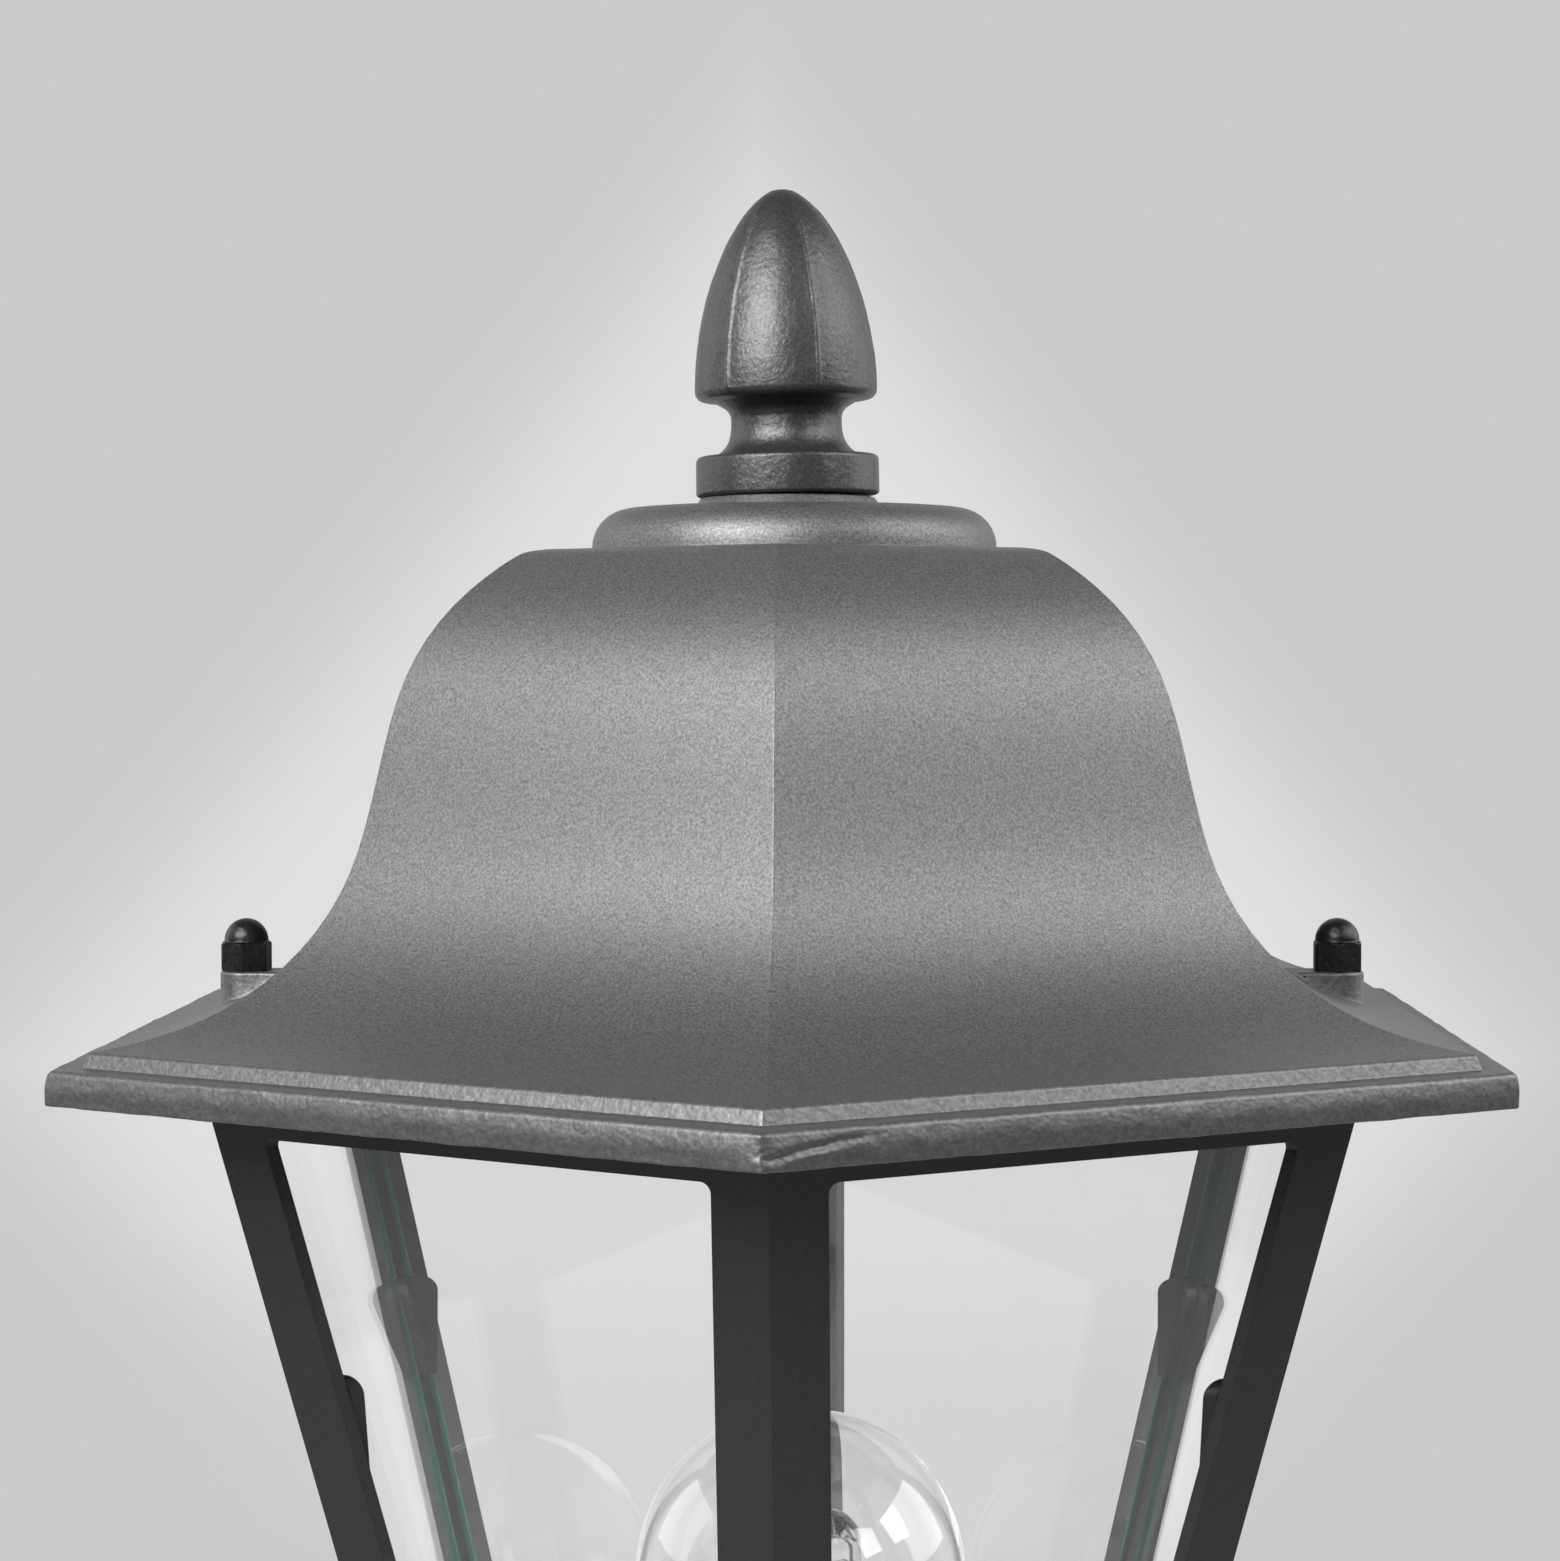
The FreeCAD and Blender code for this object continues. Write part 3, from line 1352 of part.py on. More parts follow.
make_roof()
make_roof_fastening()
make_frame()
make_panes()
make_finial()
make_holder()
make_bulb()
make_pedestal_foot()
make_pedestal_cup()
make_gasket()
make_frame_screws()
make_wiring()
check_and_write()
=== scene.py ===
import math

import bmesh
import bpy
from mathutils import Matrix, Vector, noise


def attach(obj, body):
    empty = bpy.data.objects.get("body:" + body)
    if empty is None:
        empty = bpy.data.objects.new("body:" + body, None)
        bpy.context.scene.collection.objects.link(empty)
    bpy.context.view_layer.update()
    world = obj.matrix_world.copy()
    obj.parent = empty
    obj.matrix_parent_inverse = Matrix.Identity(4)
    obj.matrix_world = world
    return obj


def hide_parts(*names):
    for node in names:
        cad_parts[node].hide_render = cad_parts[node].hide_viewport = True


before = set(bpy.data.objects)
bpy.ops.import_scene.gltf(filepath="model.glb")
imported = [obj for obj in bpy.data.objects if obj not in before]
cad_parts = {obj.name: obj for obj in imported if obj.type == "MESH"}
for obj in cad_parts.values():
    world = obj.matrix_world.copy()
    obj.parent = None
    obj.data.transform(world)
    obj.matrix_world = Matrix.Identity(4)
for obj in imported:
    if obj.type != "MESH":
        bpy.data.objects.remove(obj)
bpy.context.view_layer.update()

# Lengths are in millimetres and become metres when a mesh is made.
MM = 0.001
SIXTH = math.radians(60)
CORNER = math.radians(30)
FRONT_CORNER = math.radians(-90)

# Levels of the castings, as in the solid model
FINIAL_SEAT = 384.4
DISC_TOP = 382.3
DISC_CEILING = 378.5
ROOF_TOP = 374.8
BOSS_SEAT = 301.4
STEP_TOP = 294.0
LEDGE = 291.7
SEAT = 288.7
RIM_FOOT = 286.5

# The roof's plan and section
RIM_APOTHEM = 115.008
STEP_APOTHEM = 109.608
RIM_WALL = 3.0
ROOF_WALL = 3.0
TOP_APOTHEM = 42.6
SHOULDER_ANGLE = 26.1
SHOULDER_RADIUS = 41.1
FLANK_ANGLE = 78.4
FLARE_ANGLE = 8.1
FLARE_RADIUS = 42.0
TOP_ROUND = 12.0
BELL_END = 38.6
STUD_OFFSET = 96.1
BOSS_HALF_WIDTH = 4.6
BOSS_INNER_END = 82.0
BOSS_SPACING = 1.6
BOSS_EDGE = 0.6
DISC_RADIUS = 35.4
DISC_HOLLOW = 31.6
DISC_SHIFT = 1.1
STUD_HOLE = 4.3

# Rounds of the roof's upright corners, and the height of the lumps in its cast skin
RIM_ROUND = 0.5
STEP_ROUND = 0.6
HIP_ROUND = 0.12
INSIDE_ROUND = 1.5
RIM_LUMPS = 0.2
STEP_LUMPS = 0.05

# How closely the lumps lie, per millimetre
COARSE_LUMPS = 0.16
FINE_LUMPS = 0.5
WAVE_LUMPS = 0.21

# Spacing of the roof's rings; the bell's are eased over their neighbours and then thinned out.
RIM_SPACING = 0.36
INSIDE_SPACING = 12.0
BELL_SPACING = 1.0
BELL_NEIGHBOURS = 9
BELL_KEEP_EVERY = 5

# Closer columns of the roof, in degrees: beside each hip, and along the worn stretch of the rim
HIP_STEPS = (0.1, 0.25, 0.5)
WORN_STEP = 0.25
WORN_COLUMNS = 44

# The worn stretch of the rim, as angles from the front corner
WORN_FROM = math.radians(-1.5)
WORN_TO = math.radians(11)

# Rounds on the edges of pieces that are made from the solid model
FRAME_EDGE = 0.45
PANE_ROUND = 0.35
CAST_EDGE = 0.5

# The bulb stands a little off the lamp's axis.
LAMP_SHIFT = 1.8
BULB_FOOT = 119.5


# Outlines

def held(value):
    """Return a value kept between 0 and 1."""
    return min(max(value, 0.0), 1.0)


def meeting(point, direction, other_point, other_direction):
    """Return where two lines in a section plane meet."""
    across = direction[0] * other_direction[1] - direction[1] * other_direction[0]
    apart = (other_point[0] - point[0], other_point[1] - point[1])
    along = (apart[0] * other_direction[1] - apart[1] * other_direction[0]) / across
    return (point[0] + direction[0] * along, point[1] + direction[1] * along)


def rounded(corners, step=12.0):
    """Return points along a chain of corners (x, z, radius), each corner rounded by its own radius."""
    points = []
    for index, corner in enumerate(corners):
        here = Vector(corner[:2])
        radius = corner[2] if len(corner) > 2 else 0.0
        if radius == 0.0 or index in (0, len(corners) - 1):
            points.append(here)
            continue
        back = (Vector(corners[index - 1][:2]) - here).normalized()
        ahead = (Vector(corners[index + 1][:2]) - here).normalized()
        opening = math.acos(max(-1.0, min(1.0, back.dot(ahead))))
        bend = math.pi - opening
        start = here + back * (radius * math.tan(bend / 2))
        end = here + ahead * (radius * math.tan(bend / 2))
        middle = here + (back + ahead).normalized() * (radius / math.sin(opening / 2))
        count = max(3, math.ceil(math.degrees(bend) / step))
        for part in range(count + 1):
            share = part / count
            spread = (start - middle) * math.sin((1 - share) * bend) + (end - middle) * math.sin(share * bend)
            points.append(middle + spread / math.sin(bend))
    return points


def split_long(points, longest):
    """Return the chain with its long straight stretches divided."""
    result = [points[0]]
    for start, end in zip(points, points[1:]):
        count = max(1, math.ceil((end - start).length / longest))
        result += [start.lerp(end, part / count) for part in range(1, count + 1)]
    return result


def arc(center, radius, first, last, count):
    """Return points on an arc between two angles in degrees."""
    angles = [math.radians(first + (last - first) * part / count) for part in range(count + 1)]
    return [Vector((center[0] + radius * math.cos(a), center[1] + radius * math.sin(a))) for a in angles]


def smoothed(points, half, passes=2):
    """Return an evenly divided chain with its changes of curvature eased; half is a count of neighbours."""
    for _ in range(passes):
        eased_points = []
        for index in range(len(points)):
            reach = min(half, index, len(points) - 1 - index)
            near = points[index - reach:index + reach + 1]
            eased_points.append(sum(near, Vector((0, 0))) / len(near))
        points = eased_points
    return points


def even_columns(count):
    """Return evenly spaced angles about an axis."""
    return [math.tau * index / count for index in range(count)]


# Meshes

# How a mesh of the solid model is cleaned before its edges are rounded, and shaded after it
WELD = 0.002
FLAT_ANGLE = math.radians(0.5)
SHARP_ANGLE = math.radians(60)


class Shell:
    """Points and faces of one piece, put together from rings and strips."""

    def __init__(self):
        self.points = []
        self.faces = []

    def ring(self, points):
        start = len(self.points)
        self.points += points
        return list(range(start, start + len(points)))

    def band(self, low, high):
        """Join two closed rings; a ring of one point is a pole."""
        if len(low) == 1 and len(high) == 1:
            return
        count = max(len(low), len(high))
        for index in range(count):
            after = (index + 1) % count
            if len(low) == 1:
                self.faces.append((low[0], high[after], high[index]))
            elif len(high) == 1:
                self.faces.append((low[index], low[after], high[0]))
            else:
                self.faces.append((low[index], low[after], high[after], high[index]))

    def bands(self, rings, closed=False):
        for low, high in zip(rings, rings[1:]):
            self.band(low, high)
        if closed:
            self.band(rings[-1], rings[0])

    def cap(self, ring):
        self.faces.append(tuple(ring))

    def lathe(self, profile, columns, place=Vector((0, 0, 0)), swell=None, closed=False):
        """Turn a profile (radius, level) about an upright axis; swell adds to the radius."""
        rings = []
        for radius, level in profile:
            if radius < 1e-4:
                rings.append(self.ring([place + Vector((0, 0, level))]))
                continue
            points = []
            for angle in columns:
                size = radius + (swell(radius, level, angle) if swell else 0.0)
                points.append(place + Vector((size * math.cos(angle), size * math.sin(angle), level)))
            rings.append(self.ring(points))
        self.bands(rings, closed)
        return rings

    def tube(self, path, radius, sides=10):
        """Sweep a round wire along a path and close its ends."""
        rings = []
        side = None
        for index, point in enumerate(path):
            before = path[max(index - 1, 0)]
            after = path[min(index + 1, len(path) - 1)]
            ahead = (after - before).normalized()
            if side is None:
                side = ahead.orthogonal().normalized()
            side = (side - ahead * side.dot(ahead)).normalized()
            up = ahead.cross(side)
            turns = even_columns(sides)
            rings.append(self.ring([point + (side * math.cos(a) + up * math.sin(a)) * radius for a in turns]))
        self.bands(rings)
        self.cap(rings[0])
        self.cap(rings[-1])


def dressed(name, mesh, materials, nodes, weighted):
    """Make an object of a mesh, let it ride on the body and stand for its nodes."""
    for material in materials:
        mesh.materials.append(material)
    obj = bpy.data.objects.new(name, mesh)
    bpy.context.scene.collection.objects.link(obj)
    if weighted:
        modifier = obj.modifiers.new("even shading", "WEIGHTED_NORMAL")
        modifier.keep_sharp = True
    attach(obj, "root")
    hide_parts(*nodes)
    return obj


def piece(name, shell, material, nodes, crease=50.0, weighted=False, rough=None, rough_faces=()):
    """Make an object of a shell; some of its faces may have a second, rougher finish."""
    mesh = bpy.data.meshes.new(name)
    mesh.from_pydata([point * MM for point in shell.points], [], shell.faces)
    work = bmesh.new()
    work.from_mesh(mesh)
    bmesh.ops.recalc_face_normals(work, faces=work.faces)
    work.to_mesh(mesh)
    work.free()
    mesh.shade_smooth()
    mesh.set_sharp_from_angle(angle=math.radians(crease))
    for index in rough_faces:
        mesh.polygons[index].material_index = 1
    materials = [material, rough] if rough else [material]
    return dressed(name, mesh, materials, nodes, weighted)


def softened(name, nodes, material, width, crease=25.0, segments=3, edge=None):
    """Make one piece from the shapes of CAD nodes, with a small round on each sharp edge.

    A flat pane may have another finish on its narrow edges, that is on all but its two largest faces.
    """
    work = bmesh.new()
    for node in nodes:
        work.from_mesh(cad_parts[node].data)
    bmesh.ops.remove_doubles(work, verts=work.verts, dist=WELD * MM)
    bmesh.ops.dissolve_limit(work, angle_limit=FLAT_ANGLE, verts=work.verts, edges=work.edges)
    sharp = [e for e in work.edges if e.is_manifold and e.calc_face_angle() > math.radians(crease)]
    bmesh.ops.bevel(work, geom=sharp, offset=width * MM, segments=segments, profile=0.5,
                    affect="EDGES", clamp_overlap=True)
    bmesh.ops.recalc_face_normals(work, faces=work.faces)
    mesh = bpy.data.meshes.new(name)
    work.to_mesh(mesh)
    work.free()
    mesh.shade_smooth()
    mesh.set_sharp_from_angle(angle=SHARP_ANGLE)
    if edge is None:
        return dressed(name, mesh, [material], nodes, True)
    for polygon in sorted(mesh.polygons, key=lambda face: face.area)[:-2]:
        polygon.material_index = 1
    return dressed(name, mesh, [material, edge], nodes, True)


# Materials

SPECKLE_ENDS = (0.32, 0.68)
GLASS_IOR = 1.5


def new_material(name, color, roughness, metallic=0.0):
    material = bpy.data.materials.new(name)
    material.use_nodes = True
    shader = material.node_tree.nodes["Principled BSDF"]
    shader.inputs["Base Color"].default_value = (*color, 1)
    shader.inputs["Roughness"].default_value = roughness
    shader.inputs["Metallic"].default_value = metallic
    return material, material.node_tree, shader


def add_noise(tree, size, detail=2.0):
    """A noise in the piece's own space, with grains of a size in millimetres."""
    place = tree.nodes.new("ShaderNodeTexCoord")
    cloud = tree.nodes.new("ShaderNodeTexNoise")
    cloud.inputs["Scale"].default_value = 1 / (size * MM)
    cloud.inputs["Detail"].default_value = detail
    tree.links.new(place.outputs["Object"], cloud.inputs["Vector"])
    return cloud


def add_speckle(tree, shader, dark, light, size):
    """Mottle the colour between dark and light, with grains of a size in millimetres."""
    cloud = add_noise(tree, size)
    ramp = tree.nodes.new("ShaderNodeValToRGB")
    for element, position, color in zip(ramp.color_ramp.elements, SPECKLE_ENDS, (dark, light)):
        element.position = position
        element.color = (*color, 1)
    tree.links.new(cloud.outputs["Fac"], ramp.inputs["Fac"])
    tree.links.new(ramp.outputs["Color"], shader.inputs["Base Color"])


def add_bumps(tree, shader, bumps):
    """Chain bumps of (grain size, height) in millimetres onto the surface."""
    last = None
    for size, height in bumps:
        cloud = add_noise(tree, size, 1.0)
        bump = tree.nodes.new("ShaderNodeBump")
        bump.inputs["Strength"].default_value = 1.0
        bump.inputs["Distance"].default_value = height * MM
        tree.links.new(cloud.outputs["Fac"], bump.inputs["Height"])
        if last:
            tree.links.new(last.outputs["Normal"], bump.inputs["Normal"])
        last = bump
    tree.links.new(last.outputs["Normal"], shader.inputs["Normal"])


def coat(name, dark, light, roughness, bumps, metallic=0.8, speckle=0.5):
    """A dark powder coat with metal flakes in it."""
    material, tree, shader = new_material(name, (light,) * 3, roughness, metallic)
    add_speckle(tree, shader, (dark,) * 3, (light,) * 3, speckle)
    add_bumps(tree, shader, bumps)
    return material


def metal(name, color, roughness, bumps=((0.8, 0.006),)):
    material, tree, shader = new_material(name, color, roughness, 1.0)
    add_bumps(tree, shader, bumps)
    return material


def plain(name, color, roughness, bumps=((1.5, 0.01),)):
    material, tree, shader = new_material(name, color, roughness)
    add_bumps(tree, shader, bumps)
    return material


def clear_glass(name, tint=None, density=0.0):
    material, tree, shader = new_material(name, (1, 1, 1), 0.0)
    shader.inputs["Transmission Weight"].default_value = 1.0
    shader.inputs["IOR"].default_value = GLASS_IOR
    if tint:
        depth = tree.nodes.new("ShaderNodeVolumeAbsorption")
        depth.inputs["Color"].default_value = (*tint, 1)
        depth.inputs["Density"].default_value = density
        output = tree.nodes["Material Output"]
        tree.links.new(depth.outputs["Volume"], output.inputs["Volume"])
    return material


ROOF_COAT = coat("roof_coat", dark=0.074, light=0.152, roughness=0.5, bumps=((0.5, 0.016),), speckle=0.4)
FRAME_COAT = coat("frame_coat", dark=0.034, light=0.042, roughness=0.5, bumps=((0.6, 0.004),))
CAST_COAT = coat("cast_coat", dark=0.085, light=0.125, roughness=0.48, bumps=((1.2, 0.1), (0.6, 0.02)),
                 speckle=0.8)
FINIAL_COAT = coat("finial_coat", dark=0.042, light=0.068, roughness=0.42, bumps=((0.95, 0.085), (0.5, 0.03)))
NUT_BLACK = coat("nut_black", dark=0.001, light=0.004, roughness=0.38, bumps=((1.1, 0.12),), metallic=0.0)
NUT_BLACK.node_tree.nodes["Principled BSDF"].inputs["Specular IOR Level"].default_value = 0.33
ZINC = metal("zinc_steel", (0.55, 0.56, 0.58), 0.32)
BRASS = metal("brass", (0.72, 0.52, 0.26), 0.3)
NICKEL = metal("cap_metal", (0.66, 0.65, 0.62), 0.28)
TUNGSTEN = metal("tungsten", (0.3, 0.3, 0.31), 0.4)
PANE_GLASS = clear_glass("pane_glass", tint=(0.05, 0.62, 0.52), density=1.5)
PANE_EDGE = plain("pane_edge", (0.012, 0.12, 0.1), 0.12)
BULB_GLASS = clear_glass("bulb_glass")
BLACK_GLASS = plain("black_glass", (0.01, 0.01, 0.012), 0.12)
PORCELAIN = plain("porcelain", (0.76, 0.75, 0.71), 0.16, ((6.0, 0.03),))
RUBBER = plain("black_rubber", (0.018, 0.018, 0.018), 0.62)
LEAD_SHEATH = plain("lead_sheath", (0.55, 0.55, 0.53), 0.5)
TERMINAL = plain("terminal_plastic", (0.6, 0.58, 0.52), 0.4)


# Roof: one closed casting with its disc, bell, stepped brim and two bosses

def hexagon_reach(apothem, corner_round, angle):
    """Return the distance from the axis to a hexagon with rounded corners, in the direction of an angle."""
    off_corner = abs((angle - CORNER + SIXTH / 2) % SIXTH - SIXTH / 2)
    center = (apothem - corner_round) / math.cos(CORNER)
    limit = math.atan2(corner_round * math.sin(CORNER), center + corner_round * math.cos(CORNER))
    if off_corner < limit:
        side = center * math.sin(off_corner)
        return center * math.cos(off_corner) + math.sqrt(corner_round**2 - side**2)
    return apothem / math.cos(CORNER - off_corner)


def roof_columns():
    """Angles about the axis, a degree apart and closer at the hips and at the worn front corner."""
    angles = set(range(360))
    for hip in range(30, 390, 60):
        for step in HIP_STEPS:
            angles |= {(hip + step) % 360, (hip - step) % 360}
    angles |= {270 + WORN_STEP * index for index in range(WORN_COLUMNS)}
    return [math.radians(angle) for angle in sorted(angles)]


def roof_lines(depth):
    """Return the corner points of the bell's section, a depth inside its outer skin."""
    shoulder_tilt = math.radians(SHOULDER_ANGLE)
    flank_tilt = math.radians(FLANK_ANGLE)
    flare_tilt = math.radians(FLARE_ANGLE)
    shoulder = (math.cos(shoulder_tilt), -math.sin(shoulder_tilt))
    flank = (math.cos(flank_tilt), -math.sin(flank_tilt))
    flare = (math.cos(flare_tilt), -math.sin(flare_tilt))
    reach = SHOULDER_RADIUS * math.tan((flank_tilt - shoulder_tilt) / 2)
    knee = (TOP_APOTHEM + reach * shoulder[0], ROOF_TOP + reach * shoulder[1])

    def inward(point, line):
        return (point[0] + line[1] * depth, point[1] - line[0] * depth)

    top = meeting(inward(knee, shoulder), shoulder, (0, ROOF_TOP - depth), (1, 0))
    knee_in = meeting(inward(knee, shoulder), shoulder, inward(knee, flank), flank)
    foot = inward((STEP_APOTHEM, STEP_TOP), flare)
    hollow = meeting(inward(knee, flank), flank, foot, flare)
    outer = meeting(foot, flare, (STEP_APOTHEM - depth, 0), (0, 1))
    return top, knee_in, hollow, outer


def rim_wear(point):
    """Return how far the coat is lifted or torn on the rim, at and right of the front corner."""
    along = point.x * math.cos(CORNER) + (point.y + RIM_APOTHEM / math.cos(CORNER)) * math.sin(CORNER)
    height = point.z - RIM_FOOT
    ragged = noise.noise(Vector((along * 0.45, height * 0.7, 3.0)))
    fine = noise.noise(Vector((along * 1.3, height * 1.6, 7.0)))

    # A notch sits at the corner itself.
    notch_depth = 0.6
    notch_width = 0.9
    notch_level = 2.4
    notch_reach = 1.8
    notch = math.exp(-(along / notch_width)**2) * math.exp(-((height - notch_level) / notch_reach)**2)
    notch *= 1 + 0.6 * fine

    # A ragged groove climbs away from it, less steeply past its bend.
    groove_depth = 0.45
    groove_width = 0.55
    groove_foot = 1.0
    groove_bend = 8.0
    groove_end = 11.0
    groove_height = groove_foot + 0.2 * min(along, groove_bend) + 0.127 * max(along - groove_bend, 0.0)
    groove = (height - groove_height - 0.5 * ragged) / groove_width
    groove_fade = math.exp(-(max(along - groove_end, 0.0) / 5.0)**2) * held(along / 2.0)
    torn = groove_depth * math.exp(-groove * groove) * groove_fade * (1 + 0.7 * fine)

    # A lip of lifted coat lies under the groove.
    lip_rise = 0.3
    lip_width = 0.5
    lip_level = 1.35
    lip_middle = 8.0
    lip_reach = 3.2
    lip = (height - lip_level - 0.04 * along + 0.4 * ragged) / lip_width
    lip_fade = math.exp(-((along - lip_middle) / lip_reach)**2)
    lifted = lip_rise * math.exp(-lip * lip) * lip_fade * (1 + 0.8 * fine)
    return lifted - torn - notch_depth * notch


def make_roof():
    columns = roof_columns()
    shell = Shell()
    top, knee, hollow, _ = roof_lines(0.0)
    top_in, knee_in, hollow_in, foot_in = roof_lines(ROOF_WALL)
    rim_in = RIM_APOTHEM - RIM_WALL
    ceiling = ROOF_TOP - ROOF_WALL

    def hexagon_ring(apothem, level, corner_round, cast=0.0):
        """A ring of the roof; cast is the height of the lumps in its skin."""
        points = []
        for angle in columns:
            reach = hexagon_reach(apothem, corner_round, angle)
            point = Vector((reach * math.cos(angle), reach * math.sin(angle), level))
            outward = Vector((math.cos(angle), math.sin(angle), 0))
            if cast:
                coarse = cast * noise.noise(point * COARSE_LUMPS)
                fine = cast * noise.noise(point * FINE_LUMPS) * 0.5
                point += outward * (coarse + fine)
                point.z += cast * 0.6 * noise.noise(point * WAVE_LUMPS + Vector((9, 0, 0)))
                if WORN_FROM <= angle - math.tau - FRONT_CORNER < WORN_TO:
                    point += Vector((math.sin(CORNER), -math.cos(CORNER), 0)) * rim_wear(point)
            points.append(point)
        return shell.ring(points)

    # Each profile is a chain of corners: distance from the axis, level and round.
    rim = split_long(rounded([
        (rim_in, RIM_FOOT + 1.0),
        (rim_in, RIM_FOOT, 0.4),
        (RIM_APOTHEM + 0.1, RIM_FOOT - 0.45, 0.4),
        (RIM_APOTHEM + 0.25, (RIM_FOOT + LEDGE) / 2, 8.0),
        (RIM_APOTHEM - 0.3, LEDGE, 1.0),
        (STEP_APOTHEM + 2.0, LEDGE),
    ], 15), RIM_SPACING)
    step = rounded([
        (STEP_APOTHEM + 1.9, LEDGE),
        (STEP_APOTHEM + 0.35, LEDGE, 0.4),
        (STEP_APOTHEM - 0.5, STEP_TOP + 0.1, 0.9),
        hollow,
    ], 12)[:-1]
    bell = smoothed(split_long(rounded([
        (STEP_APOTHEM - 2.0, STEP_TOP + 2.0 * math.tan(math.radians(FLARE_ANGLE))),
        (*hollow, FLARE_RADIUS),
        (*knee, SHOULDER_RADIUS - 0.05),
        (*top, TOP_ROUND),
        (BELL_END, ROOF_TOP),
    ], 1.0), BELL_SPACING), BELL_NEIGHBOURS)
    bell = bell[:-1:BELL_KEEP_EVERY] + bell[-1:]
    disc = rounded([
        (DISC_RADIUS + 1.4, ROOF_TOP),
        (DISC_RADIUS, ROOF_TOP, 0.25),
        (DISC_RADIUS, DISC_TOP + 0.1, 6.7),
        (16.6, DISC_TOP, 0.5),
        (15.2, FINIAL_SEAT, 0.5),
        (STUD_HOLE, FINIAL_SEAT, 0.3),
        (STUD_HOLE, DISC_CEILING, 0.3),
        (DISC_HOLLOW, DISC_CEILING, 2.0),
        (DISC_HOLLOW, ceiling, 1.0),
        (33.0, ceiling),
    ], 10)
    inside = split_long(rounded([
        (35.0, ceiling),
        (*top_in, 1.0),
        (*knee_in, SHOULDER_RADIUS - ROOF_WALL),
        (*hollow_in, FLARE_RADIUS + ROOF_WALL),
        (*foot_in, 0.8),
        (foot_in[0], SEAT, 0.5),
        (rim_in, SEAT, 0.5),
        (rim_in, RIM_FOOT + 1.4),
    ], 12.0), INSIDE_SPACING)

    rings = [hexagon_ring(x, z, RIM_ROUND, RIM_LUMPS) for x, z in rim]
    rings += [hexagon_ring(x, z, STEP_ROUND, STEP_LUMPS) for x, z in step]
    rings += [hexagon_ring(x, z, HIP_ROUND) for x, z in bell]
    for radius, level in disc:
        # The disc stands a little off the axis, but not its middle.
        shift = DISC_SHIFT * held((radius - 17.0) / 8.0)
        points = [Vector((radius * math.cos(a) + shift, radius * math.sin(a), level)) for a in columns]
        rings.append(shell.ring(points))
    rings += [hexagon_ring(x, z, INSIDE_ROUND) for x, z in inside]
    shell.bands(rings, closed=True)

    # The brim and the bosses have a rougher skin than the bell.
    rough_faces = list(range((len(rim) + len(step) - 1) * len(columns)))
    skin_faces = len(shell.faces)
    for side in (1, -1):
        add_boss(shell, bell, side)
    rough_faces += range(skin_faces, len(shell.faces))
    piece("roof_casting", shell, ROOF_COAT, ["roof"], 55, True, CAST_COAT, rough_faces)


def bell_level(bell, apothem):
    """Return the height of the bell's skin over a place on the middle line of a face."""
    for outer, inner in zip(bell, bell[1:]):
        if inner[0] <= apothem <= outer[0]:
            share = (outer[0] - apothem) / max(outer[0] - inner[0], 1e-6)
            return outer[1] + (inner[1] - outer[1]) * share
    return STEP_TOP


def add_boss(shell, bell, side):
    """A U-shaped boss that carries a cap nut grows out of the flare."""
    straight = [BOSS_INNER_END + BOSS_SPACING * part for part in range(9)]
    outline = [(x, -BOSS_HALF_WIDTH) for x in straight]
    outline += [tuple(p) for p in arc((STUD_OFFSET, 0), BOSS_HALF_WIDTH, -90, 90, 28)]
    outline += [(x, BOSS_HALF_WIDTH) for x in reversed(straight)]

    def level_ring(shrink, level):
        points = []
        for x, y in outline:
            out = Vector((max(x - STUD_OFFSET, 0), y)).normalized()
            place = Vector((x, y)) - out * shrink
            points.append(Vector((place.x * side, place.y, level(x))))
        return shell.ring(points)

    # The foot is sunk into the bell and spreads a little where it meets it.
    rings = [
        level_ring(-0.5, lambda x: bell_level(bell, x) - 1.4),
        level_ring(-0.35, lambda x: min(bell_level(bell, x) + 0.1, BOSS_SEAT)),
        level_ring(0.0, lambda x: min(bell_level(bell, x) + 0.7, BOSS_SEAT)),
    ]
    for part in range(5):
        turn = math.radians(22.5 * part)
        drop = BOSS_EDGE * (1 - math.sin(turn))
        rings.append(level_ring(BOSS_EDGE * (1 - math.cos(turn)), lambda x: BOSS_SEAT - drop))
    shell.bands(rings)
    shell.cap(rings[0])
    shell.cap(rings[-1])


# Finial: acorn, waisted neck and collar with six raised casting seams

FINIAL_HEIGHT = 53.4
FINIAL_LEAN = math.radians(1.0)
COLLAR_RADIUS = 16.0
COLLAR_HEIGHT = 7.0
NECK_RADIUS = 9.67
ACORN_RADIUS = 15.95
ACORN_LEVEL = 19.2
ACORN_RISE = 34.5
ACORN_RINGS = 60
SEAM_TURN = 52.7
SEAM_HEIGHT = 0.2
SEAM_WIDTH = 0.42
SEAM_FOOT = 17.2
SEAM_HEAD = 51.2


